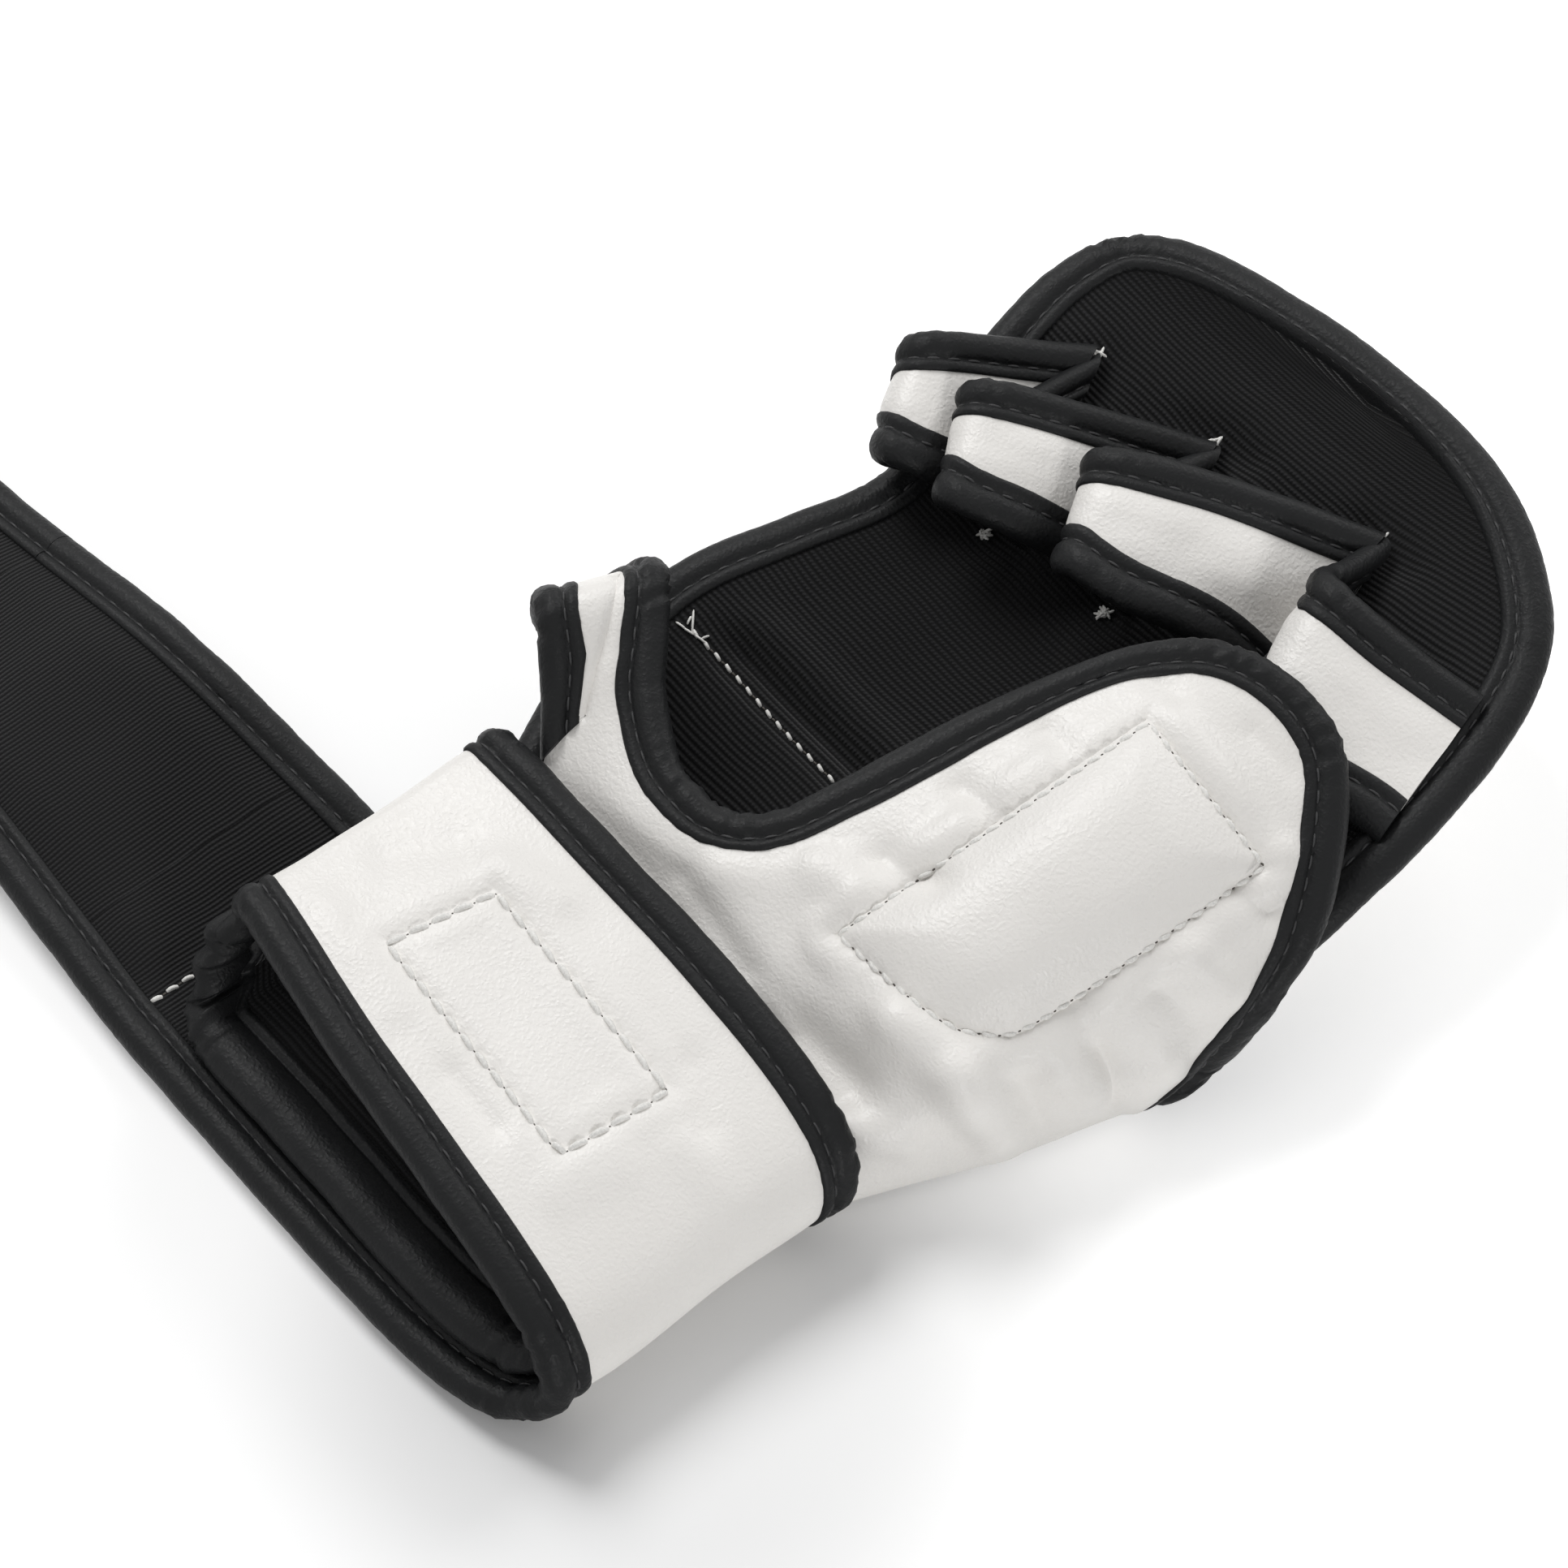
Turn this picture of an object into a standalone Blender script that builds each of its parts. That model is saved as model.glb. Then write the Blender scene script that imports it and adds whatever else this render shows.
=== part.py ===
"""Left-hand sparring glove for mixed martial arts, lying palm up with its wrist strap open.

Lengths are in millimetres and become metres when a mesh is made. +Y runs from the wrist to the
fingertips, +X to the little-finger side, +Z up. The origin is on the table under the palm.
"""
import math

import bmesh
import bpy
from mathutils import Matrix, Vector

MM = 0.001

# Layers and edge trim
LEATHER = 1.4
KNIT = 1.0
TAPE = 1.0
GAP = 0.3
BINDING_WIDTH = 7.0
BINDING_HEIGHT = 4.6
LOOP_BINDING_WIDTH = 5.6
LOOP_BINDING_HEIGHT = 3.2
LOOP_WALL = 1.2
CUFF_BINDING_HEIGHT = 4.0
CUFF_WALL = 1.8
FOAM_INSET = 9.0
FOAM_SLACK = 0.8
FOLD_GAP = 2.4
# Points along a smooth curve between two of its given points, and along a line before it is cut back
CURVE_STEPS = 6
TRIM_STEPS = 12

# Back of the hand: outer edge as (x, y, z), from the wrist round the fingertips to the wrist
PAD_OUTLINE = (
    (-41, -48.5, 8), (-50, -31, 9), (-57.5, -13, 12), (-61, 5, 14.5), (-60, 18, 17),
    (-55.5, 34, 18.5), (-51.5, 50, 20), (-54, 65, 25), (-57.5, 80, 30), (-59, 94, 33),
    (-55.5, 106, 35.5), (-45, 113.5, 37), (-29, 117, 38), (-8, 119, 38.5), (12, 118.5, 38.5),
    (29, 115, 37.5), (43.5, 107.5, 35.5), (54, 97, 33), (60, 81, 30.5), (63, 64, 28),
    (64, 47, 24), (62.5, 30, 16), (60.5, 13, 9.5), (57.5, -2, 6.8), (53, -17, 5.8),
    (45.5, -32, 5.8), (32, -48.5, 7),
)
# Its middle line as (y, height of the lining, foam thickness)
PAD_MIDDLE = (
    (-48.5, 8.2, 0), (-38, 8.6, 2), (-28, 9, 6), (-8, 10.8, 9.5), (10, 13.5, 12), (30, 15.2, 13.5),
    (52, 17.6, 15), (70, 21.8, 15.5), (88, 28, 14.5), (104, 33.4, 9), (112, 36, 5), (120, 38, 2),
)
PAD_CURL = 2.4
PAD_ROWS = 10
PAD_COLUMNS = 10
FOAM_ROWS = 8
# Shares of the fingers' length where its rows lie, closer towards the tip; the foam stops short of it
FINGER_ROWS = (0, 0.18, 0.36, 0.52, 0.66, 0.78, 0.87, 0.92, 0.95, 0.97, 0.985, 0.998)
FINGER_FOAM_ROWS = 8
KNUCKLE_Y = 52.0
KNUCKLE_AXIS_Z = 29.0
SIDE_SEAM_START_Y = -31.0
FOAM_START_Y = -28.0

# Wrist band and flap as (x, z, rear edge y, front edge y) along the band; the height is the seat
# of the leather on its lining
BAND_Z = TAPE + GAP + LEATHER
BAND = (
    (-53, BAND_Z, -105, -48), (-20, BAND_Z, -105.5, -46.5), (10, BAND_Z, -105.5, -45.5),
    (26, BAND_Z, -104.5, -43.5), (37, 4.2, -102.5, -41.5), (43, 7.6, -99.7, -39.5),
    (45.5, 11.5, -97.5, -37.8),
)
FLAP = (
    (45.5, 11.5, -97.5, -37.8), (44, 16.3, -96.5, -36.3), (38.5, 21, -95.6, -35.2),
    (27, 24.8, -94.5, -34.3), (8, 28.2, -93, -34), (-14, 30.4, -90.8, -34.2),
    (-30, 31.2, -88.3, -33.9), (-41, 30.6, -86.3, -33.6),
)
CUFF_SIDE_BULGE = 6.0
CUFF_SIDE_STEPS = 8
CUFF_BAND_INSET = 6.5
CUFF_FLAP_INSET = 2.5
CUFF_SLACK = 0.4
CUFF_FRONT_Y = -49.2
HOOK_PATCH_LENGTH = 45.0
HOOK_PATCH_WIDTH = 19.0
HOOK_PATCH_X = 1.5
HOOK_PATCH_Y = -65.0
LOOP_TAPE_LENGTH = 76.0
LOOP_TAPE_WIDTH = 36.0

# Strap, running off to -X from the seam at the end of the band
STRAP_ROOT_LENGTH = 36.0
STRAP_MIDDLE_LENGTH = 96.0
STRAP_TIP_LENGTH = 60.0
STRAP_TIP_WIDTH = 40.0
STRAP_TIP_CORNER = 12.0
STRAP_CORNER_STEPS = 5
STRAP_HOOK_LENGTH = 42.0
STRAP_HOOK_MARGIN = 3.0

# Palm panel: rows from the outer seam to the thumb; each row runs from the cuff to the free edge
PALM = (
    ((35, -46, 11), (39.5, -38, 10.2), (48, -27, 9), (56.6, -7, 9.2), (62.5, 15, 14.5)),
    ((36.5, -46, 13.5), (40, -38, 13.5), (51.5, -26, 14), (61, -4, 16.5), (65.5, 25, 21.5)),
    ((34, -46, None), (37.5, -35, None), (47.5, -22, 22.5), (55.5, 4, 27.5), (62, 41, 30)),
    ((30, -46, None), (32, -33.5, None), (38.5, -18, 29.5), (44.5, 14, 38), (49, 57, 40)),
    ((25, -46, None), (27, -33, None), (31, -15, 32.5), (35, 18, 41.5), (31.5, 58, 44.5)),
    ((19, -46, None), (20.5, -32.5, None), (24, -14, 33), (27, 17, 41.5), (18, 48, 45)),
    ((12, -46, None), (13.5, -32.5, None), (17, -16, 32.7), (19, 8, 39.5), (8, 23, 41.5)),
    ((4, -46, None), (5.5, -32.5, None), (9, -20.5, 32), (10, -8, 35.5), (1.5, -2, 36)),
    ((-6, -46, None), (-4.5, -32.7, None), (-1, -26, 30.8), (0.5, -20.5, 32.4), (-4, -16, 33)),
    ((-17, -46, None), (-16, -32.8, None), (-15, -28.5, 30.2), (-15.5, -24.5, 32), (-16, -18.7, 33.3)),
    ((-32, -35.5, None), (-32, -32, 27.3), (-31.8, -27.5, 30.3), (-31, -21.5, 33.4), (-28, -13.5, 36.5)),
    ((-41.5, -28, 33.5), (-41, -25.5, 35.3), (-40, -21.5, 37), (-38.5, -15.5, 39), (-36, -6.5, 40.5)),
    ((-51.6, -21, 46), (-49.5, -18.5, 46.8), (-47, -13.5, 47.2), (-45.5, -7.5, 46.5), (-44.5, 0.5, 44.5)),
    ((-56.5, -18, 34), (-56, -14, 34.2), (-55, -9.5, 34.4), (-53.5, -4, 34), (-52, 3, 33.2)),
    ((-58, -15, 22), (-58.3, -12, 22.4), (-58.3, -7.5, 23), (-58, -2, 23.2), (-57, 5, 23)),
    ((-55, -13.5, 14.7), (-56, -10, 15.2), (-56.8, -5.5, 15.9), (-57.4, 0, 16.5), (-57.5, 5.5, 17.2)),
)
PALM_ROW_STEPS = 2
PALM_COLUMNS = 9
PALM_SLACK = 1.3
THUMB_ROW = 11
HEEL_PAD_ROWS = (1.9, 4.75)
HEEL_PAD_STEPS = (0.26, 0.87)
HEEL_PAD_RISE = 4.0

# Finger loops: from the seam on the little-finger side, over, and down to the seam on the thumb side.
# Seams are (x, y) on the lining; the points between are (x, y, z).
LOOP_ROWS = 16
LOOPS = {
    "index": {
        "distal": ((-41.5, 87), (-49.5, 78, 36), (-57, 66.5, 39.5), (-60, 64.5, 35.8),
                   (-56, 66.8, 32), (-47.2, 72)),
        "proximal": ((-33, 56), (-41, 53.2, 30), (-47.3, 50.2, 33), (-50.4, 50, 29.6),
                     (-47.6, 51.6, 26), (-41.8, 54.5)),
    },
    "middle": {
        "distal": ((-18, 90.5), (-30, 77, 37), (-41.5, 66.3, 41), (-45.7, 64.7, 37.5),
                   (-41.5, 69.3, 34.6), (-35, 87.5)),
        "proximal": ((-10, 60.5), (-22.5, 55, 32), (-31.5, 50.2, 35.2), (-35, 50, 32),
                     (-31.5, 52.2, 29), (-24.5, 57.5)),
    },
    "ring": {
        "distal": ((13.5, 96.5), (-1.5, 83.5, 38.5), (-17, 72, 41.5), (-21.5, 70, 38),
                   (-17.5, 74.5, 34), (-11.5, 90)),
        "proximal": ((18.5, 65), (7.5, 60, 32.5), (-7.5, 55, 35.5), (-11.5, 54.5, 32),
                     (-8, 57, 28.5), (-3.5, 61)),
    },
    "little": {
        "distal": ((48, 84), (37, 80.5, 39), (25, 79, 42), (20.5, 81.5, 39),
                   (19.5, 87, 36), (20.5, 95.5)),
        "proximal": ((53, 61), (43, 61.5, 34), (30, 62, 36.5), (26, 63, 33),
                     (26.5, 64.5, 29), (25.5, 67)),
    },
}

WHITE = (0.83, 0.81, 0.78, 1)
CHARCOAL = (0.027, 0.028, 0.03, 1)
BLACK = (0.012, 0.012, 0.013, 1)
FOAM_GREY = (0.3, 0.3, 0.3, 1)


def material(name, colour, roughness):
    """Principled material of one finish, made once."""
    made = bpy.data.materials.get(name)
    if made is None:
        made = bpy.data.materials.new(name)
        made.use_nodes = True
        shader = made.node_tree.nodes["Principled BSDF"]
        shader.inputs["Base Color"].default_value = colour
        shader.inputs["Roughness"].default_value = roughness
        shader.inputs["Metallic"].default_value = 0.0
    return made


def leather():
    return material("white_leather", WHITE, 0.5)


def edging():
    return material("charcoal_edging", CHARCOAL, 0.55)


def knit():
    return material("black_rib_knit", BLACK, 0.9)


def foam():
    return material("grey_foam", FOAM_GREY, 0.95)


def tape():
    return material("black_fastening_tape", BLACK, 0.8)


def axis_empty(name, place):
    """Empty on a joint's axis, which carries the pieces that turn about it."""
    empty = bpy.data.objects.new(name, None)
    empty.location = Vector(place) * MM
    bpy.context.collection.objects.link(empty)
    return empty


def solid(name, points, faces, finish, carrier=None):
    """Closed mesh object from points in millimetres."""
    mesh = bpy.data.meshes.new(name)
    mesh.from_pydata([Vector(p) * MM for p in points], [], faces)
    shell = bmesh.new()
    shell.from_mesh(mesh)
    bmesh.ops.recalc_face_normals(shell, faces=shell.faces)
    shell.to_mesh(mesh)
    shell.free()
    mesh.materials.append(finish)
    mesh.shade_smooth()
    mesh.set_sharp_from_angle(angle=math.radians(50))
    piece = bpy.data.objects.new(name, mesh)
    bpy.context.collection.objects.link(piece)
    if carrier is not None:
        piece.parent = carrier
        piece.matrix_parent_inverse = Matrix.Translation(-carrier.location)
    return piece


def smooth_point(points, at):
    """Point of the smooth curve through points, with at from 0 to len(points) - 1."""
    first = min(max(int(at), 0), len(points) - 2)
    part = at - first
    b = points[first]
    c = points[first + 1]
    a = points[first - 1] if first > 0 else b * 2 - c
    d = points[first + 2] if first + 2 < len(points) else c * 2 - b
    return (b * 2 + (c - a) * part + (a * 2 - b * 5 + c * 4 - d) * part ** 2
            + (b * 3 - a - c * 3 + d) * part ** 3) * 0.5


def smooth_curve(points, per_span):
    """Points along the smooth curve through points."""
    vectors = [Vector(p) for p in points]
    count = (len(vectors) - 1) * per_span
    return [smooth_point(vectors, i / per_span) for i in range(count + 1)]


def at_length(curve, lengths):
    """Points of a polyline at the given distances from its start."""
    found = []
    for wanted in lengths:
        left = wanted
        for a, b in zip(curve, curve[1:]):
            span = (b - a).length
            if left <= span or b is curve[-1]:
                found.append(a.lerp(b, left / span))
                break
            left -= span
    return found


def curve_length(curve):
    return sum((b - a).length for a, b in zip(curve, curve[1:]))


def trimmed(curve, head, tail, count):
    """Polyline of count + 1 even points between a head and a tail that are cut off."""
    whole = curve_length(curve)
    step = (whole - head - tail) / count
    return at_length(curve, [head + step * i for i in range(count + 1)])


def gap_to(place, edge):
    """Distance from a place to a polyline."""
    nearest = None
    for a, b in zip(edge, edge[1:]):
        run = b - a
        share = min(max((place - a).dot(run) / run.length_squared, 0), 1)
        reach = (place - a - run * share).length
        nearest = reach if nearest is None else min(nearest, reach)
    return nearest


def short_of(curve, edge, distance):
    """Start of a polyline, up to where it comes within a distance of an edge beyond its end."""
    last = len(curve) - 1
    while last > 0 and gap_to(curve[last], edge) < distance:
        last -= 1
    if last == len(curve) - 1:
        return curve
    near, far = 0.0, 1.0
    for _ in range(12):
        half = (near + far) / 2
        if gap_to(curve[last].lerp(curve[last + 1], half), edge) < distance:
            far = half
        else:
            near = half
    return curve[:last + 1] + [curve[last].lerp(curve[last + 1], near)]


def grid_normals(grid, closed=False):
    """Unit normals of a grid of points, along its columns crossed with along its rows."""
    rows = len(grid)
    columns = len(grid[0])
    normals = []
    for i in range(rows):
        before = grid[i - 1] if closed or i > 0 else grid[i]
        after = grid[(i + 1) % rows] if closed or i < rows - 1 else grid[i]
        line = []
        for j in range(columns):
            across = grid[i][min(j + 1, columns - 1)] - grid[i][max(j - 1, 0)]
            line.append(across.cross(after[j] - before[j]).normalized())
        normals.append(line)
    return normals


def offset(grid, distance, closed=False):
    """Grid moved along its own normals."""
    normals = grid_normals(grid, closed)
    return [[p + n * distance for p, n in zip(line, lean)] for line, lean in zip(grid, normals)]


def raised(grid, heights):
    """Grid moved straight up by a table of heights."""
    return [[p + Vector((0, 0, h)) for p, h in zip(line, ups)] for line, ups in zip(grid, heights)]


def slab(name, inner, outer, finish, carrier=None, closed=False):
    """Closed sheet between two grids; outer lies on the side that grid_normals points to."""
    rows = len(inner)
    columns = len(inner[0])
    points = [p for line in inner for p in line] + [p for line in outer for p in line]
    top = rows * columns
    faces = []

    def at(i, j):
        return (i % rows) * columns + j

    for i in range(rows if closed else rows - 1):
        for j in range(columns - 1):
            a, b, c, d = at(i, j), at(i + 1, j), at(i + 1, j + 1), at(i, j + 1)
            faces += [(a, b, c), (a, c, d), (top + a, top + c, top + b), (top + a, top + d, top + c)]
    border = []
    for i in range(rows if closed else rows - 1):
        border.append((at(i + 1, 0), at(i, 0)))
        border.append((at(i, columns - 1), at(i + 1, columns - 1)))
    if not closed:
        for j in range(columns - 1):
            border.append((at(0, j), at(0, j + 1)))
            border.append((at(rows - 1, j + 1), at(rows - 1, j)))
    for a, b in border:
        faces += [(a, b, top + b), (a, top + b, top + a)]
    return solid(name, points, faces, finish, carrier)


def tube(name, sections, normals, height, finish, carrier=None, closed=False, sides=8):
    """Flattened round edging through pairs of outer and inner points; its height stands along the normals."""
    count = len(sections)
    points = []
    for (outer, inner), normal in zip(sections, normals):
        middle = (outer + inner) / 2
        across = (outer - inner) / 2
        upright = (normal - normal.project(across)).normalized() * height / 2
        for k in range(sides):
            turn = 2 * math.pi * (k + 0.5) / sides
            points.append(middle + across * math.cos(turn) + upright * math.sin(turn))
    faces = []
    for i in range(count if closed else count - 1):
        ring = i * sides
        after = ((i + 1) % count) * sides
        for k in range(sides):
            n = (k + 1) % sides
            faces += [(ring + k, after + k, after + n), (ring + k, after + n, ring + n)]
    if not closed:
        last = (count - 1) * sides
        for k in range(1, sides - 1):
            faces += [(0, k, k + 1), (last, last + k + 1, last + k)]
    return solid(name, points, faces, finish, carrier)


def edge_sections(lines, edge, width):
    """Outer and inner points, and normals, of an edging over the last points of a fan of lines."""
    sections = []
    normals = []
    for i, line in enumerate(lines):
        tangent = lines[min(i + 1, len(lines) - 1)][-1] - lines[max(i - 1, 0)][-1]
        sections.append((line[-1], short_of(line, edge, width)[-1]))
        normals.append((line[-1] - line[-3]).cross(tangent).normalized())
    return sections, normals


def plan_inset(outline, distance):
    """Outline moved inwards in plan; it runs clockwise seen from above."""
    moved = []
    for i, p in enumerate(outline):
        tangent = outline[min(i + 1, len(outline) - 1)] - outline[max(i - 1, 0)]
        inward = Vector((tangent.y, -tangent.x, 0)).normalized()
        moved.append(p + inward * distance)
    return moved


def crossing(side, y):
    """Point of an outline's side at a given y; the side runs towards larger y."""
    for a, b in zip(side, side[1:]):
        if y <= b.y or b is side[-1]:
            return a.lerp(b, (y - a.y) / (b.y - a.y))


def pad_middle(y):
    """Height of the lining and thickness of the foam on the hand's middle line."""
    table = [Vector(row) for row in PAD_MIDDLE]
    for i, (a, b) in enumerate(zip(table, table[1:])):
        if y <= b.x or i == len(table) - 2:
            found = smooth_point(table, i + (y - a.x) / (b.x - a.x))
            return found.y, max(found.z, 0)


PAD_EDGE = smooth_curve(PAD_OUTLINE, CURVE_STEPS)
STACK = LEATHER + KNIT + 2 * GAP


def pad_sides(distance):
    """Left and right sides of the outline moved inwards, both towards larger y."""
    edge = plan_inset(PAD_EDGE, distance)
    crest = max(range(len(edge)), key=lambda i: edge[i].y)
    return edge[:crest + 1], edge[crest:][::-1]


def pad_line(sides, y, count):
    """Points of the lining's face across the hand at y, with their share of the foam."""
    left = crossing(sides[0], y)
    right = crossing(sides[1], y)
    height, thickness = pad_middle(y)
    line = []
    depths = []
    for j in range(count + 1):
        across = 2 * j / count - 1
        edge = (left if across < 0 else right).z + STACK / 2
        curl = abs(across) ** PAD_CURL
        line.append(Vector((left.x + (right.x - left.x) * j / count, y, height + (edge - height) * curl)))
        depths.append(STACK + thickness * (1 - across ** 4))
    return line, depths


def lining_height(x, y):
    """Height of the lining's face at a place on the hand."""
    sides = pad_sides(BINDING_WIDTH + GAP)
    left = crossing(sides[0], y)
    right = crossing(sides[1], y)
    across = 2 * (x - left.x) / (right.x - left.x) - 1
    edge = (left if across < 0 else right).z + STACK / 2
    height = pad_middle(y)[0]
    return height + (edge - height) * min(abs(across), 1) ** PAD_CURL


def pad_layers(prefix, ys, count, carrier=None):
    """Shell, foam and lining of one length of the hand's back."""
    sides = pad_sides(BINDING_WIDTH + GAP)
    lines = [pad_line(sides, y, count) for y in ys]
    face = [line for line, _ in lines]
    under = [[p.z - max(p.z - d, 0) for p, d in zip(line, depths)] for line, depths in lines]
    lining_low = raised(face, [[-KNIT] * (count + 1)] * len(ys))
    slab(prefix + "_lining", lining_low, face, knit(), carrier)
    shell_low = raised(face, [[-d for d in depths] for depths in under])
    shell_high = raised(shell_low, [[LEATHER] * (count + 1)] * len(ys))
    slab(prefix + "_shell", shell_low, shell_high, leather(), carrier)


def pad_foam(name, ys, count, carrier=None):
    """Foam between the shell and the lining, drawn in from the edges."""
    sides = pad_sides(BINDING_WIDTH + GAP)
    low = []
    high = []
    for y in ys:
        line, depths = pad_line(sides, y, count)
        width = line[-1].x - line[0].x
        share = FOAM_INSET / width
        packed = []
        for j in range(count + 1):
            at = (share + (1 - 2 * share) * j / count) * count
            first = min(int(at), count - 1)
            part = at - first
            place = line[first].lerp(line[first + 1], part)
            depth = depths[first] + (depths[first + 1] - depths[first]) * part
            packed.append((place, depth))
        low.append([p + Vector((0, 0, LEATHER + FOAM_SLACK - min(d, p.z))) for p, d in packed])
        high.append([p - Vector((0, 0, KNIT + FOAM_SLACK)) for p, _ in packed])
    slab(name, low, high, foam(), carrier)


def spaced(start, end, count):
    return [start + (end - start) * i / count for i in range(count + 1)]


def pad_binding(name, pieces, carrier=None):
    """Edging along stretches of the outline; each stretch is a list of outer and inner points."""
    sections = [pair for stretch in pieces for pair in stretch]
    tube(name, sections, [Vector((0, 0, 1))] * len(sections), BINDING_HEIGHT, edging(), carrier)


def outline_pairs(side, low, high):
    """Outer and inner points of one side of the outline between two values of y, towards larger y."""
    edge = pad_sides(0)[side]
    inner = plan_inset(PAD_EDGE, BINDING_WIDTH)
    inner = inner[:len(edge)] if side == 0 else inner[-len(edge):][::-1]
    pairs = list(zip(edge, inner))[::2]
    kept = [pair for pair in pairs if low + 1 < pair[0].y < high - GAP / 2]
    ends = []
    for y in (low, high):
        for a, b in zip(pairs, pairs[1:]):
            if a[0].y <= y <= b[0].y:
                share = (y - a[0].y) / (b[0].y - a[0].y)
                ends.append((a[0].lerp(b[0], share), a[1].lerp(b[1], share)))
                break
    return ends[:1] + kept + ends[1:]


def back_of_hand(knuckle):
    """Padded back: the hand's length stays, the fingers' length turns about the knuckle."""
    hand_ys = spaced(PAD_MIDDLE[0][0], KNUCKLE_Y - GAP / 2, PAD_ROWS)
    pad_layers("back", hand_ys, PAD_COLUMNS)
    pad_foam("back_foam", spaced(FOAM_START_Y, KNUCKLE_Y - GAP / 2, FOAM_ROWS), PAD_COLUMNS)
    left, right = pad_sides(BINDING_WIDTH + GAP)
    tip = min(left[-1].y, right[-1].y)
    base = KNUCKLE_Y + GAP / 2
    finger_ys = [base + (tip - base) * share for share in FINGER_ROWS]
    pad_layers("finger", finger_ys, PAD_COLUMNS, knuckle)
    pad_foam("finger_foam", finger_ys[:FINGER_FOAM_ROWS], PAD_COLUMNS, knuckle)
    crest = max(p.y for p in PAD_EDGE)
    for side, name in enumerate(("back_edging_thumb", "back_edging_outer")):
        pad_binding(name, [outline_pairs(side, SIDE_SEAM_START_Y, KNUCKLE_Y - GAP)])
    thumb_side = outline_pairs(0, KNUCKLE_Y + GAP, crest)
    outer_side = outline_pairs(1, KNUCKLE_Y + GAP, crest)
    pad_binding("finger_edging", [thumb_side, outer_side[::-1][1:]], knuckle)


def band_rows(stations, per_span, head=0.0, tail=0.0):
    """Rear-to-front lines across a band, along its smooth path with its ends cut back."""
    rear = smooth_curve([(x, rear, z) for x, z, rear, _ in stations], per_span)
    front = smooth_curve([(x, front, z) for x, z, _, front in stations], per_span)
    count = len(rear) - 1
    return list(zip(trimmed(rear, head, tail, count), trimmed(front, head, tail, count)))


def band_layers(prefix, rows, carrier):
    """Leather, lining and the two edgings of a length of band."""
    inset = BINDING_WIDTH + GAP
    seat = [trimmed([rear, front], inset, inset, 3) for rear, front in rows]
    slab(prefix + "_leather", seat, offset(seat, LEATHER), leather(), carrier)
    slab(prefix + "_lining", offset(seat, -GAP - KNIT), offset(seat, -GAP), knit(), carrier)
    normals = [line[0] for line in grid_normals(seat)]
    for edge in ("rear", "front"):
        sections = []
        for rear, front in rows:
            inward = (front - rear).normalized() * BINDING_WIDTH
            sections.append((rear, rear + inward) if edge == "rear" else (front, front - inward))
        tube(prefix + "_" + edge + "_edging", sections, normals, BINDING_HEIGHT, edging(), carrier)


def flap_seat(x):
    """Height of the flap's seat at x, held level past its ends."""
    path = smooth_curve([(px, 0, pz) for px, pz, _, _ in FLAP], CURVE_STEPS)
    over = [p for p in path if p.z > FLAP[2][1] - GAP]
    if x <= over[-1].x:
        return over[-1].z
    for a, b in zip(over, over[1:]):
        if b.x <= x:
            return a.lerp(b, max((x - a.x) / (b.x - a.x), 0)).z


def wrist(flap):
    """Band under the wrist, flap over it and the knitted cuff inside."""
    band_layers("wrist_band", band_rows(BAND, 3, GAP, FOLD_GAP / 2), None)
    band_layers("cuff_flap", band_rows(FLAP, 3, FOLD_GAP / 2), flap)
    half_length = LOOP_TAPE_LENGTH / 2
    half_width = LOOP_TAPE_WIDTH / 2
    middle_x = (BAND[0][0] + BAND[3][0]) / 2
    middle_y = (BAND[1][2] + BAND[1][3]) / 2
    lower = [[Vector((middle_x + a * half_length, middle_y + b * half_width, 0)) for b in (-1, 0, 1)]
             for a in (-1, 0, 1)]
    slab("wrist_loop_tape", offset(lower, -TAPE), lower, tape())
    hook_patch(flap)
    knitted_cuff()


def hook_patch(flap):
    """Hook tape sewn behind the flap, inside the stitched rectangle."""
    half_length = HOOK_PATCH_LENGTH / 2
    half_width = HOOK_PATCH_WIDTH / 2
    seat = []
    for x in spaced(HOOK_PATCH_X + half_length, HOOK_PATCH_X - half_length, 6):
        z = flap_seat(x)
        seat.append([Vector((x, HOOK_PATCH_Y + side * half_width, z)) for side in (-1, 0, 1)])
    low = KNIT + 2 * GAP
    slab("cuff_flap_hook_patch", offset(seat, -low - TAPE), offset(seat, -low), tape(), flap)


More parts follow.
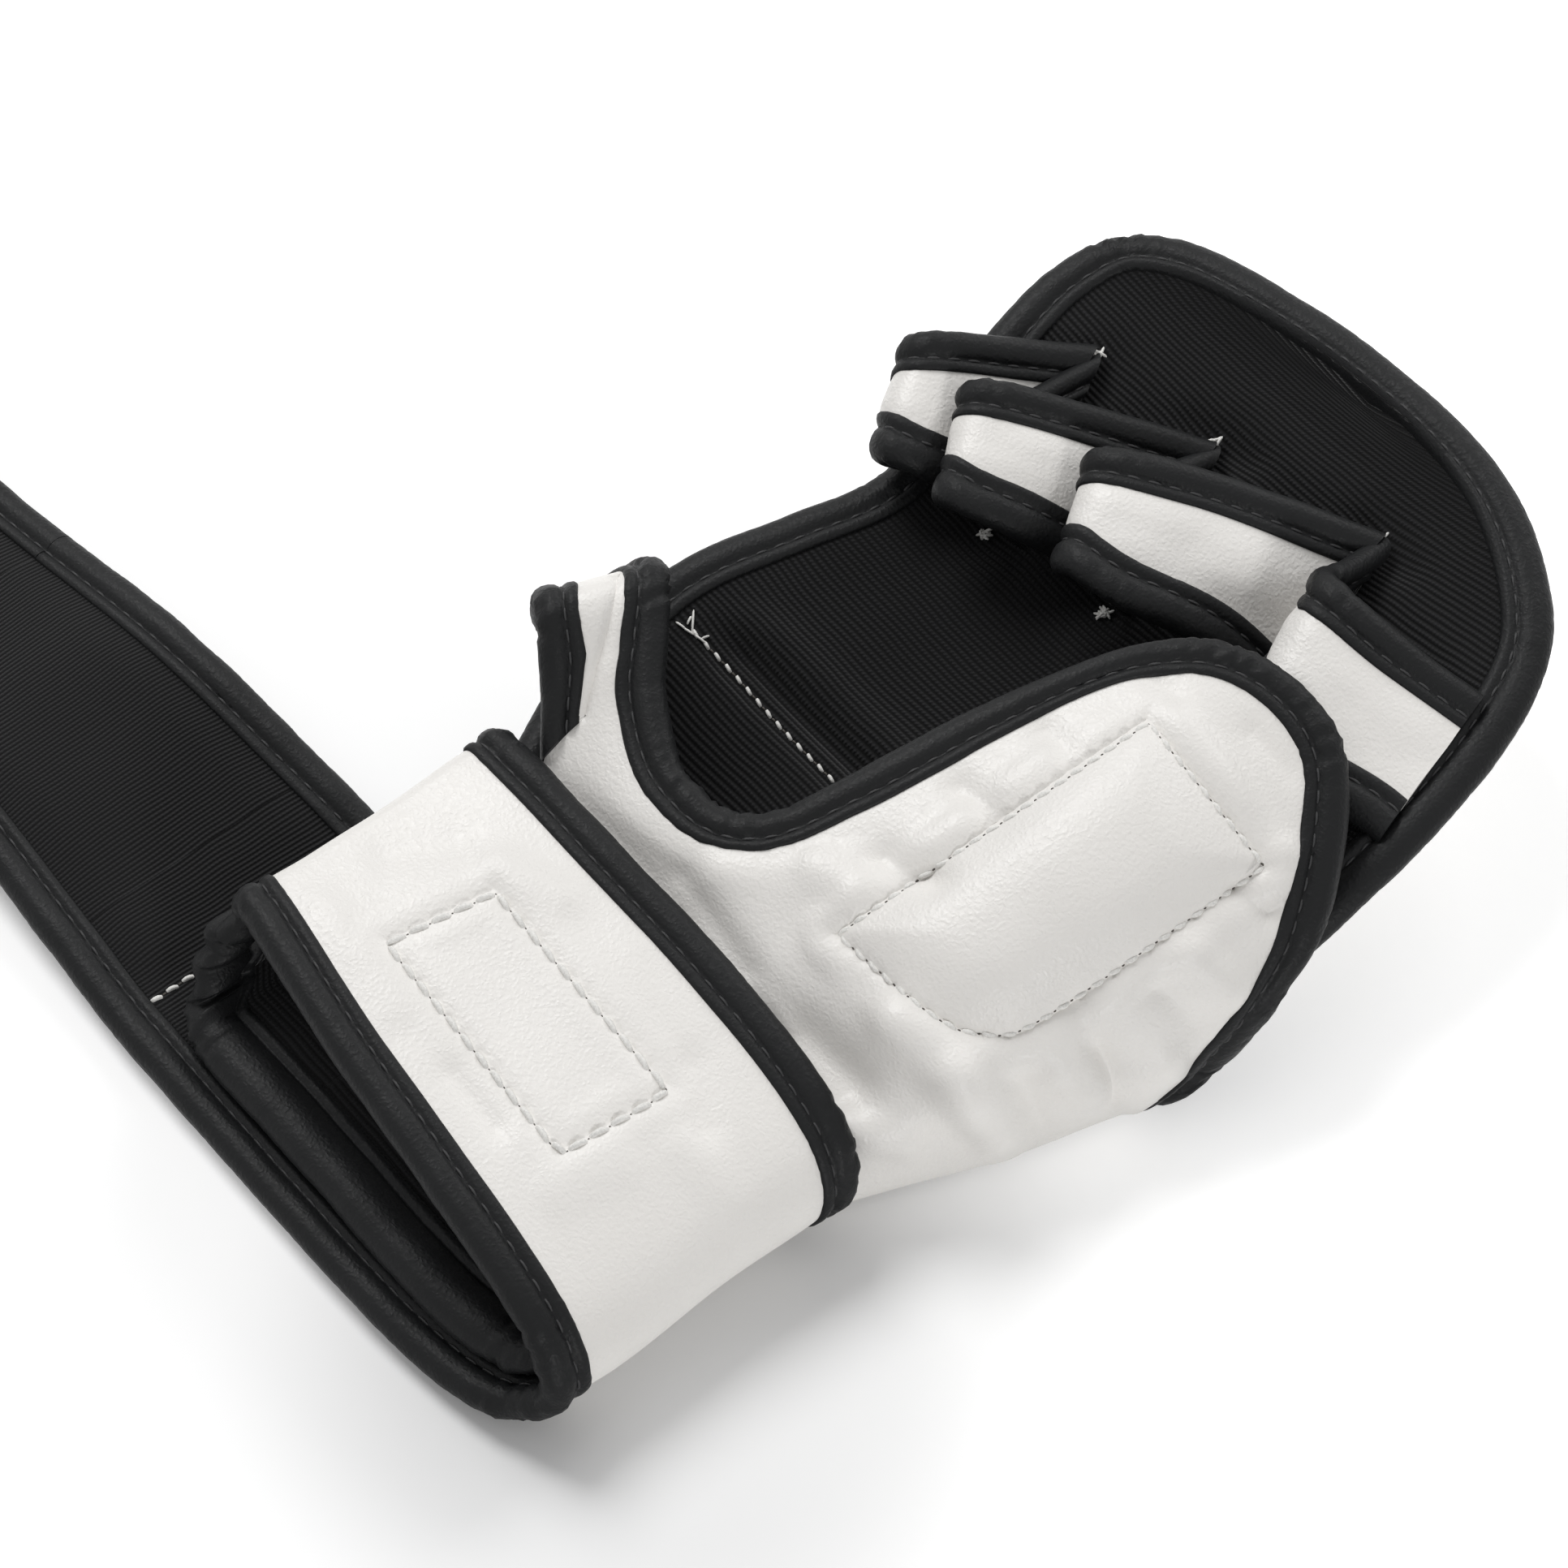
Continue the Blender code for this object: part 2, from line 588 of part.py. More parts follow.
def knitted_cuff():
    """Closed knitted sleeve inside the band and flap, with its own rolled edge."""
    drop = max(BINDING_HEIGHT / 2 + CUFF_SLACK + CUFF_BINDING_HEIGHT / 2,
               KNIT + TAPE + 2 * GAP + CUFF_SLACK + CUFF_WALL / 2)
    path = BAND[1:-1] + FLAP
    rows = band_rows(path, 2)
    seat = [list(row) for row in rows]
    inner = offset(seat, -drop)
    top = inner[-1][0]
    bottom = inner[0][0]
    middle_z = (top.z + bottom.z) / 2
    thumb_x = min(top.x, FLAP[-1][0] + GAP)
    loop = []
    for line, inset in zip(inner, spaced(CUFF_BAND_INSET, CUFF_FLAP_INSET, len(inner) - 1)):
        loop.append((line[0].x, line[0].z, line[0].y + inset))
    for k in range(1, CUFF_SIDE_STEPS):
        turn = math.pi * k / CUFF_SIDE_STEPS
        share = k / CUFF_SIDE_STEPS
        loop.append((thumb_x - CUFF_SIDE_BULGE * math.sin(turn) ** 0.7,
                     middle_z + (top.z - bottom.z) / 2 * math.cos(turn),
                     loop[len(inner) - 1][2] * (1 - share) + loop[0][2] * share))
    loop.append((thumb_x, bottom.z, loop[0][2]))
    rear = [Vector((x, y, z)) for x, z, y in loop]
    edge = rear + rear[:1]
    lines = [trimmed([Vector((p.x, CUFF_FRONT_Y, p.z)), p], 0, 0, TRIM_STEPS) for p in rear]
    wall = [trimmed(short_of(line, edge, BINDING_WIDTH + GAP), 0, 0, 3)[::-1] for line in lines]
    slab("knitted_cuff", offset(wall, -CUFF_WALL / 2, True), offset(wall, CUFF_WALL / 2, True),
         knit(), None, True)
    sections = [(line[-1], short_of(line, edge, BINDING_WIDTH)[-1]) for line in lines]
    normals = [line[0] for line in grid_normals(wall, True)]
    tube("knitted_cuff_edging", sections, normals, CUFF_BINDING_HEIGHT, edging(), None, True)


def strap(carriers):
    """Open strap in three lengths, each turning on the one before."""
    start = BAND[0][0]
    rear = BAND[0][2]
    front = BAND[0][3]
    taper = (front - rear - STRAP_TIP_WIDTH) / 2
    ends = [start]
    for length in (STRAP_ROOT_LENGTH, STRAP_MIDDLE_LENGTH, STRAP_TIP_LENGTH):
        ends.append(ends[-1] - length)
    for name, near, far, carrier in zip(("strap_root", "strap_middle"), ends, ends[1:], carriers):
        rows = []
        for x in spaced(far + GAP / 2, near - GAP / 2, 4):
            narrow = taper * (start - x) / (start - ends[2])
            rows.append((Vector((x, rear + narrow, BAND_Z)), Vector((x, front - narrow, BAND_Z))))
        band_layers(name, rows, carrier)
    strap_tip(ends[2] - GAP / 2, ends[3], (rear + front) / 2, carriers[2])


def strap_tip(near, far, middle, carrier):
    """Rounded end of the strap with its hook tape."""
    half = STRAP_TIP_WIDTH / 2
    corner = STRAP_TIP_CORNER
    arc = []
    for k in range(STRAP_CORNER_STEPS + 1):
        turn = math.pi / 2 * k / STRAP_CORNER_STEPS
        arc.append((far + corner * (1 - math.sin(turn)), half - corner * (1 - math.cos(turn))))
    outline = [Vector((near, middle - half, BAND_Z))]
    outline += [Vector((x, middle - reach, BAND_Z)) for x, reach in arc]
    outline += [Vector((x, middle + reach, BAND_Z)) for x, reach in arc[::-1]]
    outline.append(Vector((near, middle + half, BAND_Z)))
    edge = plan_inset(outline, BINDING_WIDTH)
    inner = plan_inset(outline, BINDING_WIDTH + GAP)
    for line in (edge, inner):
        line[0].x = near
        line[-1].x = near
    count = len(inner) // 2
    rows = [trimmed([inner[i], inner[-1 - i]], 0, 0, 3) for i in range(count)]
    rows = rows[::-1]
    slab("strap_tip_leather", rows, offset(rows, LEATHER), leather(), carrier)
    slab("strap_tip_lining", offset(rows, -GAP - KNIT), offset(rows, -GAP), knit(), carrier)
    upright = [Vector((0, 0, 1))] * len(outline)
    tube("strap_tip_edging", list(zip(outline, edge)), upright, BINDING_HEIGHT, edging(), carrier)
    reach = half - BINDING_WIDTH - GAP - STRAP_HOOK_MARGIN
    hook_end = far + BINDING_WIDTH + GAP + STRAP_HOOK_MARGIN + corner / 2
    seat = [[Vector((x, middle + side * reach, BAND_Z + KNIT + 2 * GAP)) for side in (-1, 0, 1)]
            for x in spaced(hook_end, hook_end + STRAP_HOOK_LENGTH, 2)]
    slab("strap_hook_tape", offset(seat, -TAPE), seat, tape(), carrier)


def palm_rows():
    """Palm control rows with the heights under the flap filled in."""
    drop = BINDING_HEIGHT / 2 + PALM_SLACK + LEATHER
    rows = []
    for row in PALM:
        rows.append([Vector((x, y, flap_seat(x) - drop if z is None else z)) for x, y, z in row])
    return rows


def palm_curve(rows, at):
    """Line of the palm from the cuff to the free edge at a place between the rows."""
    points = [smooth_point([row[k] for row in rows], at) for k in range(len(rows[0]))]
    return smooth_curve(points, CURVE_STEPS)


def palm_edges(lines):
    """Free edge of the palm, and the thumb hole's edge."""
    return [line[-1] for line in lines], [line[0] for line in lines[THUMB_ROW * PALM_ROW_STEPS:]]


def palm_grid(lines, count):
    """Palm surface between its edgings."""
    free, hole = palm_edges(lines)
    reach = BINDING_WIDTH + GAP
    grid = []
    for line in lines:
        kept = short_of(short_of(line, free, reach)[::-1], hole, reach)[::-1]
        grid.append(trimmed(kept, 0, 0, count))
    return grid


def heel_rise(at, step):
    """Height of the heel pad's crown at a place on the palm."""
    low, high = HEEL_PAD_ROWS
    near, far = HEEL_PAD_STEPS
    across = 1 - abs(2 * (at - low) / (high - low) - 1)
    along = 1 - abs(2 * (step - near) / (far - near) - 1)
    if min(across, along) <= 0:
        return 0.0
    return HEEL_PAD_RISE * min(1, 2.5 * across) ** 0.6 * min(1, 3.5 * along) ** 0.6


def palm():
    """Palm panel with its thumb loop, lining, heel pad and edgings."""
    rows = palm_rows()
    lines = [palm_curve(rows, i / PALM_ROW_STEPS) for i in range((len(rows) - 1) * PALM_ROW_STEPS + 1)]
    grid = palm_grid(lines, PALM_COLUMNS)
    lean = grid_normals(grid)
    rises = [[heel_rise(i / PALM_ROW_STEPS, j / PALM_COLUMNS) for j in range(PALM_COLUMNS + 1)]
             for i in range(len(grid))]
    crowned = [[p + n * r for p, n, r in zip(*parts)] for parts in zip(grid, lean, rises)]
    outer = [[p + n * LEATHER for p, n in zip(*parts)] for parts in zip(crowned, lean)]
    slab("palm_panel", crowned, outer, leather())
    slab("palm_lining", offset(grid, -GAP - KNIT), offset(grid, -GAP), knit())
    heel_pad(crowned, grid, lean, rises)
    palm_edgings(lines)


def heel_pad(crowned, grid, lean, rises):
    """Foam under the crown of the palm panel."""
    least = 3 * GAP
    rows = [i for i in range(len(grid)) if max(rises[i]) > least]
    columns = [j for j in range(len(grid[0])) if max(line[j] for line in rises) > least]
    low = [[grid[i][j] for j in columns] for i in rows]
    high = [[crowned[i][j] - lean[i][j] * GAP for j in columns] for i in rows]
    slab("palm_heel_foam", low, high, foam())


def palm_edgings(lines):
    """Edging of the palm's free edge and of the thumb hole."""
    free, hole = palm_edges(lines)
    sections, normals = edge_sections(lines, free, BINDING_WIDTH)
    tube("palm_edging", sections, normals, BINDING_HEIGHT, edging())
    hole_lines = [line[::-1] for line in lines[-len(hole):]]
    sections, normals = edge_sections(hole_lines, hole, BINDING_WIDTH)
    tube("thumb_hole_edging", sections, normals, BINDING_HEIGHT, edging())


def loop_edge(points, seat):
    """Smooth edge of a finger loop; its two seams stand on the lining."""
    filled = []
    for p in points:
        filled.append((p[0], p[1], lining_height(p[0], p[1]) + seat) if len(p) == 2 else p)
    return smooth_curve(filled, CURVE_STEPS)


def finger_loop(name, edges, knuckle):
    """Soft band over one finger: leather, knit inside and an edging at each side."""
    seat = LOOP_BINDING_HEIGHT / 2 + GAP
    distal = trimmed(loop_edge(edges["distal"], seat), 0, 0, LOOP_ROWS)
    proximal = trimmed(loop_edge(edges["proximal"], seat), 0, 0, LOOP_ROWS)
    lines = [trimmed([a, b], 0, 0, TRIM_STEPS) for a, b in zip(proximal, distal)]
    reach = LOOP_BINDING_WIDTH + GAP
    band = []
    for line in lines:
        kept = short_of(short_of(line, distal, reach)[::-1], proximal, reach)[::-1]
        band.append(trimmed(kept, 0, 0, 2))
    slab(name + "_loop_leather", band, offset(band, LOOP_WALL), leather(), knuckle)
    slab(name + "_loop_lining", offset(band, -GAP - KNIT), offset(band, -GAP), knit(), knuckle)
    backwards = [line[::-1] for line in lines]
    for side, fan, edge in (("distal", lines, distal), ("proximal", backwards, proximal)):
        sections, normals = edge_sections(fan, edge, LOOP_BINDING_WIDTH)
        tube(name + "_loop_" + side + "_edging", sections, normals, LOOP_BINDING_HEIGHT, edging(),
             knuckle, sides=6)


def main():
    for old in list(bpy.data.objects):
        bpy.data.objects.remove(old, do_unlink=True)
    knuckle = axis_empty("knuckle_axis", (0, KNUCKLE_Y, KNUCKLE_AXIS_Z))
    hinge_x = FLAP[0][0] + BINDING_HEIGHT / 2 + GAP
    flap = axis_empty("flap_axis", (hinge_x, (FLAP[0][2] + FLAP[0][3]) / 2, FLAP[0][1]))
    strap_axes = []
    reach = BAND[0][0]
    top = BAND_Z + BINDING_HEIGHT / 2 + GAP
    for name, length in (("strap_root_axis", STRAP_ROOT_LENGTH), ("strap_middle_axis", STRAP_MIDDLE_LENGTH),
                         ("strap_tip_axis", STRAP_TIP_LENGTH)):
        strap_axes.append(axis_empty(name, (reach, (BAND[0][2] + BAND[0][3]) / 2, top)))
        reach -= length
    back_of_hand(knuckle)
    wrist(flap)
    strap(strap_axes)
    palm()
    for name, edges in LOOPS.items():
        finger_loop(name, edges, knuckle)


main()
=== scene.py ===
"""Looks of the open-palm sparring glove: leather, rib knit, bound edges, thread, camera and light.

Lengths are in millimetres in the glove's own frame, and become metres when a mesh is made.
"""

import math
import random

import bmesh
import bpy
import numpy as np
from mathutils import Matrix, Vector, noise
from mathutils.bvhtree import BVHTree


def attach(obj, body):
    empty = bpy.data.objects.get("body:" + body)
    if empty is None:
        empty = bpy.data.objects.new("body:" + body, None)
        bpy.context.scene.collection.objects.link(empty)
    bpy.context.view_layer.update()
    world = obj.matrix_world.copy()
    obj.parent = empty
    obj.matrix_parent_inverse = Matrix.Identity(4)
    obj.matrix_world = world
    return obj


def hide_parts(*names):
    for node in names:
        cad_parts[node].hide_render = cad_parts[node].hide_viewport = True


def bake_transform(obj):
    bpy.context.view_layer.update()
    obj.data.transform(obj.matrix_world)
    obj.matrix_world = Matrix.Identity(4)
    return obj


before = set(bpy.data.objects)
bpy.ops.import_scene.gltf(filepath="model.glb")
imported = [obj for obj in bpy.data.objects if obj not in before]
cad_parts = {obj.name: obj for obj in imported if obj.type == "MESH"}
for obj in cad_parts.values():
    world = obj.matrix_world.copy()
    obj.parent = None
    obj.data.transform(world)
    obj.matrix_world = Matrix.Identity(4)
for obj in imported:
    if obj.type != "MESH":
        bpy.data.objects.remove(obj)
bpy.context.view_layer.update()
MM = 0.001

# Camera of the photograph
PHOTO_SIZE = 1932
VIEW_AZIMUTH = math.radians(50)
VIEW_ELEVATION = math.radians(53)
VIEW_DISTANCE = 750.0
VIEW_TARGET = np.array((-16.0, 0.0, 15.0))
PIXELS_PER_MM = 7.8
SENSOR = 36.0
VIEW_BACK = np.array((math.sin(VIEW_AZIMUTH) * math.cos(VIEW_ELEVATION),
                      -math.cos(VIEW_AZIMUTH) * math.cos(VIEW_ELEVATION), math.sin(VIEW_ELEVATION)))
VIEW_RIGHT = np.array((math.cos(VIEW_AZIMUTH), math.sin(VIEW_AZIMUTH), 0.0))
VIEW_UP = np.cross(VIEW_BACK, VIEW_RIGHT)
VIEW_PLACE = VIEW_TARGET + VIEW_BACK * VIEW_DISTANCE
FOCAL_PIXELS = PIXELS_PER_MM * VIEW_DISTANCE

# Layers of the glove, as in the solids
LEATHER = 1.4
KNIT = 1.0
TAPE = 1.0
GAP = 0.3
BINDING = 7.0
LOOP_WALL = 1.2
STACK = LEATHER + KNIT + 2 * GAP
UNDER_BINDING = 6.2

# Back of the hand: outer edge as (x, y, z), and its middle line as (y, lining height, foam thickness)
PAD_OUTLINE = (
    (-41, -48.5, 8), (-50, -31, 9), (-57.5, -13, 12), (-61, 5, 14.5), (-60, 18, 17),
    (-55.5, 34, 18.5), (-51.5, 50, 20), (-54, 65, 25), (-57.5, 80, 30), (-59, 94, 33),
    (-55.5, 106, 35.5), (-45, 113.5, 37), (-29, 117, 38), (-8, 119, 38.5), (12, 118.5, 38.5),
    (29, 115, 37.5), (43.5, 107.5, 35.5), (54, 97, 33), (60, 81, 30.5), (63, 64, 28),
    (64, 47, 24), (62.5, 30, 16), (60.5, 13, 9.5), (57.5, -2, 6.8), (53, -17, 5.8),
    (45.5, -32, 5.8), (32, -48.5, 7),
)
PAD_MIDDLE = (
    (-48.5, 8.2, 0), (-38, 8.6, 2), (-28, 9, 6), (-8, 10.8, 9.5), (10, 13.5, 12), (30, 15.2, 13.5),
    (52, 17.6, 15), (70, 21.8, 15.5), (88, 28, 14.5), (104, 33.4, 9), (112, 36, 5), (120, 38, 2),
)
# Curl of the pad's face and of its foam towards the rim, and how its grids are laid
PAD_CURL = 2.4
PAD_FOAM_CURL = 4
PAD_TIP_WIDTH = 40.0
PAD_TIP_GAP = 0.02
PAD_ROW_POWER = 0.9
PAD_RIM_STEPS = 24

# Wrist band and flap as (x, height, rear edge y, front edge y) along the band
BAND_Z = TAPE + GAP + LEATHER
BAND = (
    (-53, BAND_Z, -105, -48), (-20, BAND_Z, -105.5, -46.5), (10, BAND_Z, -105.5, -45.5),
    (26, BAND_Z, -104.5, -43.5), (37, 4.2, -102.5, -41.5), (43, 7.6, -99.7, -39.5),
    (45.5, 11.5, -97.5, -37.8),
)
FLAP = (
    (45.5, 11.5, -97.5, -37.8), (44, 16.3, -96.5, -36.3), (38.5, 21, -95.6, -35.2),
    (27, 24.8, -94.5, -34.3), (8, 28.2, -93, -34), (-14, 30.4, -90.8, -34.2),
    (-30, 31.2, -88.3, -33.9), (-41, 30.6, -86.3, -33.6),
)
FLAP_END_RADIUS = 2.0
FLAP_END_TURNS = np.linspace(0.12, 1.0, 10) * math.radians(175)
FLAP_END_BACK = (1.0, 2.0, 3.0)
# Rows by which the band's lining stops short of its end and its bound edges run on into the turned end, and
# columns of a coarse grid across the band
BAND_LINING_SHORT = 4
BAND_EDGE_LONG = 6
COARSE_COLUMNS = 8
CUFF_DROP = 4.7
CUFF_SIDE_BULGE = 6.0
CUFF_BAND_INSET = 6.5
CUFF_FLAP_INSET = 2.5
CUFF_FRONT_Y = -49.2
CUFF_WALL = 1.8
CUFF_PLEATS = 3.4
CUFF_PLEAT_DEPTH = 1.5
CUFF_PLEAT_POWER = 0.7
CUFF_PLEAT_FADE = 3
CUFF_RIM_SPACING = 0.8
CUFF_SIDE_POWER = 0.7
CUFF_KNIT_START = 8
HOOK_PATCH = (45.0, 19.0)
HOOK_PATCH_PLACE = (1.5, -65.0)
LOOP_TAPE = (76.0, 36.0)
HOOK_THICKNESS = TAPE * 0.6

# Strap, running off to -X from the seam at the end of the band
STRAP_START = BAND[0][0]
STRAP_LENGTHS = (36.0, 96.0, 60.0)
STRAP_TIP_WIDTH = 40.0
STRAP_TIP_CORNER = 12.0
STRAP_HOOK = (42.0, 19.4)
STRAP_ARCH_X = -104.0
STRAP_ARCH_REACH = 34.0
STRAP_ARCH_REAR = 2.4
STRAP_ARCH_FRONT = 6.2
STRAP_SPACING = 0.7
STRAP_TIP_ROWS = 30
STRAP_FACE_COLUMNS = 60
STRAP_PUFF = 0.8
STRAP_PUFF_REACH = 8
STRAP_END_SPACING = 0.6
STRAP_END_REACH = 9.0
STRAP_HOOK_MARGIN = 3
STRAP_HOOK_LIFT = 1.2
STRAP_SEAM_INSET = 7.5
STRAP_SEAM_LIFT = 0.05

# Palm panel: rows from the outer seam to the thumb; each row runs from the cuff to the free edge
PALM = (
    ((32, -46, 1.9), (37.5, -36, 1.8), (43.5, -23, 1.8), (50, -3, 1.8), (58.4, 15, 2.6)),
    ((36, -48, 3.0), (40.6, -39.2, 2.4), (46.8, -25.4, 2.2), (54.4, -5, 2.3), (61.8, 18.3, 4.2)),
    ((37, -48, 7), (41.4, -39.8, 6.0), (48, -26, 5.6), (55.8, -5.4, 6.2), (63.2, 23.5, 9)),
    ((37, -47, 11), (41, -38.8, 10.0), (48.3, -25.3, 9.4), (56.6, -4.6, 10.2), (64.8, 26, 14.5)),
    ((37, -46.4, 13.5), (40.3, -38.2, 13.5), (48.2, -23.8, 14.6), (57.8, -2.4, 17.0), (66, 31, 21.5)),
    ((34, -46, None), (37.5, -35, None), (47.5, -22, 22.5), (55.5, 4, 27.5), (63, 42.4, 30)),
    ((30, -46, None), (32, -33.5, None), (38.5, -18, 29.5), (44.5, 14, 38), (49, 57, 40)),
    ((25, -46, None), (27, -33, None), (31, -15, 32.5), (35, 18, 41.5), (31.5, 58, 44.5)),
    ((19, -46, None), (20.5, -32.5, None), (24, -14, 33), (27, 17, 41.5), (18, 48, 45)),
    ((12, -46, None), (13.5, -32.5, None), (17, -16, 32.7), (19, 8, 39.5), (8, 23, 41.5)),
    ((4, -46, None), (5.5, -32.5, None), (9, -20.5, 32), (10, -8, 35.5), (1.5, -2, 36)),
    ((-6, -46, None), (-4.5, -32.7, None), (-1, -26, 30.8), (0.5, -20.5, 32.4), (-4, -16, 33)),
    ((-17, -46, None), (-16, -32.8, None), (-15, -28.5, 30.2), (-15.5, -24.5, 32), (-16, -18.7, 33.3)),
    ((-32, -35.5, None), (-32, -32, 27.3), (-31.8, -27.5, 30.3), (-31, -21.5, 33.4), (-28, -13.5, 36.5)),
    ((-41.5, -28, 32.5), (-41, -25.5, 34.3), (-40, -21.5, 36), (-38.5, -15.5, 38), (-36, -6.5, 39.5)),
    ((-51.6, -21, 41.2), (-49.5, -18.5, 42.2), (-47, -13.5, 43), (-45.5, -7.5, 42.6), (-44.5, 0.5, 41)),
    ((-56.5, -18, 32), (-56, -14, 32.2), (-55, -9.5, 32.6), (-53.5, -4, 32.4), (-52, 3, 31.8)),
    ((-58, -15, 22), (-58.3, -12, 22.4), (-58.3, -7.5, 23), (-58, -2, 23.2), (-57, 5, 23)),
    ((-55, -13.5, 14.7), (-56, -10, 15.2), (-56.8, -5.5, 15.9), (-57.4, 0, 16.5), (-57.5, 5.5, 17.2)),
)
PALM_DROP = 5.0
# Places in the table of rows where the palm's parts begin and end
PALM_EDGE_ROW = 0.9
PALM_FIRST_ROW = 1.5
PALM_FRONT_ROWS = 13
THUMB_ROW = 14
THUMB_HOLE_ROWS = (THUMB_ROW - 0.9, THUMB_ROW - 0.1)
THUMB_EDGE_ROW = THUMB_ROW - 0.7
THUMB_FRONT_ROWS = 15.2
PAD_BINDING_END_Y = 15.0
# Heel pad: crown in millimetres, and reaches from its stitching in pixels of the photograph
HEEL_PAD_LAST_ROW = 10
HEEL_CROWN = 2.8
HEEL_CROWN_REACH = 92
HEEL_PUCKER = 0.8

# Finger loops: from the seam on the little-finger side, over, and down to the seam on the thumb side
LOOPS = {
    "index": {
        "distal": ((-42.3, 89.3), (-49.5, 78, 36), (-57, 66.5, 39.5), (-60, 64.5, 35.8),
                   (-56, 66.8, 32), (-47.2, 72)),
        "proximal": ((-33, 56), (-41, 53.2, 30), (-47.3, 50.2, 33), (-50.4, 50, 29.6),
                     (-47.6, 51.6, 26), (-41.8, 54.5)),
    },
    "middle": {
        "distal": ((-15.3, 91.4), (-30, 77, 37), (-41.5, 66.3, 41), (-45.7, 64.7, 37.5),
                   (-41.5, 69.3, 34.6), (-41.2, 88.6)),
        "proximal": ((-10, 60.5), (-22.5, 55, 32), (-31.5, 50.2, 35.2), (-35, 50, 32),
                     (-31.5, 52.2, 29), (-24.5, 57.5)),
    },
    "ring": {
        "distal": ((17.7, 97.3), (-1.5, 83.5, 38.5), (-17, 72, 41.5), (-21.5, 70, 38),
                   (-17.5, 74.5, 34), (-14.8, 91.1)),
        "proximal": ((18.5, 65), (7.5, 60, 32.5), (-7.5, 55, 35.5), (-11.5, 54.5, 32),
                     (-8, 57, 28.5), (-3.5, 61)),
    },
    "little": {
        "distal": ((51.5, 85), (37, 80.5, 39), (25, 79, 42), (20.5, 81.5, 39),
                   (19.5, 87, 36), (18.1, 96.8)),
        "proximal": ((59, 55.5), (45.5, 55, 31.5), (32, 56.5, 34.5), (27.5, 59.5, 32),
                     (27.5, 62.5, 28.5), (25.5, 67)),
    },
}
LOOP_SEAT = 0.8
LOOP_ROWS = 150
LOOP_COLUMNS = 60
LOOP_CROWN = 0.5
LOOP_UNDER_BINDING = 0.82
LOOP_SEED = 20.0
LOOP_SEED_STEP = 3

# Bound edge: (distance in from the rim, height over the panel's middle), the same above and below
BINDING_HALF = (
    (7.6, 1.1), (7.65, 1.6), (7.35, 1.95), (6.6, 2.1), (5.95, 1.95), (5.55, 1.6), (5.25, 1.55),
    (4.95, 1.9), (4.4, 2.35), (3.5, 2.6), (2.4, 2.6), (1.4, 2.25), (0.6, 1.55), (0.1, 0.6),
)
BINDING_PROFILE = BINDING_HALF + tuple((inset, -rise) for inset, rise in reversed(BINDING_HALF))
GROOVES = ((5, 6), (21, 22))
ROLL_POINTS = range(7, 21)
# Broad soft edge of the inner cuff
CUFF_PROFILE = (
    (11.0, 0.8), (11.1, 1.3), (10.6, 1.6), (9.9, 1.5), (9.3, 1.1), (9.0, 1.0), (8.7, 1.2), (8.0, 1.9),
    (6.6, 2.6), (4.8, 2.9), (3.0, 2.8), (1.4, 2.2), (0.4, 1.2), (0.0, 0.0), (0.5, -1.1), (1.6, -1.8),
    (3.2, -2.2), (5.0, -2.2), (7.0, -1.8), (8.6, -1.3), (9.4, -1.1), (9.6, -0.6),
)
BINDING_REACH = 7.6
PAD_BINDING = 8.6
PAD_EDGE_REACH = 10.5
PAD_SEAT_INSETS = (7.0, 8.6, 10.5)
PAD_SEAT_LIFT = 0.2
PALM_END_BINDING = 2.4
LOOP_FAR_BINDING = 7.3
LOOP_NEAR_BINDING = 8.0
LOOP_NEAR_REACH = 4.6
EDGE_SPACING = 0.75
PROBE_HEIGHT = 100
EDGE_LEAST_SQUARE = 0.85
EDGE_INWARD_COLUMN = 3
# Gathers where a bound edge turns, creases and slow waves along it
GATHER_PITCH = 3.6
GATHER_DEPTH = 0.15
GATHER_POWER = 0.8
GATHER_SLANT = 0.04
GATHER_WANDER = 0.35
GATHER_WANDER_SEED = 1.3
CREASE_LEAST = 0.06
CREASE_BENT = 0.35
CREASE_WIDTH = 0.2
CREASE_SLANT = 0.3
CREASE_DRIFT = 0.07
ROLL_WAVE_DRIFT = 0.05
FLANGE_SHARE = 0.35
SHARP_ANGLE = math.radians(66)

# Stitching read from the photograph, in its pixels
HEEL_PAD_PIXELS = ((1032, 1152), (1415, 891), (1558, 1068), (1290, 1252), (1215, 1274), (1150, 1252))
CUFF_PATCH_PIXELS = ((476, 1164), (610, 1101), (824, 1346), (690, 1424))
LINING_SEAM_PIXELS = ((852, 776), (905, 832), (965, 900), (1032, 968))
TUFT_PIXELS = (
    ((833, 767), (845, 776)), ((843, 775), (855, 783)), ((853, 780), (855, 752)), ((847, 770), (852, 760)),
    ((856, 783), (871, 794)), ((864, 788), (874, 784)),
)
TUFT_LIFT = 0.35
FAR_BARTACK_PIXELS = ((1350, 440), (1500, 550), (1706, 668))
NEAR_BARTACK_PIXELS = ((1213, 660), (1360, 758))
BARTACK_STRANDS = 9
BARTACK_SPREAD = 0.6
BARTACK_REACH = (0.7, 1.5)
BARTACK_FAR_LIFT = 1.8
BARTACK_NEAR_LIFT = 0.5
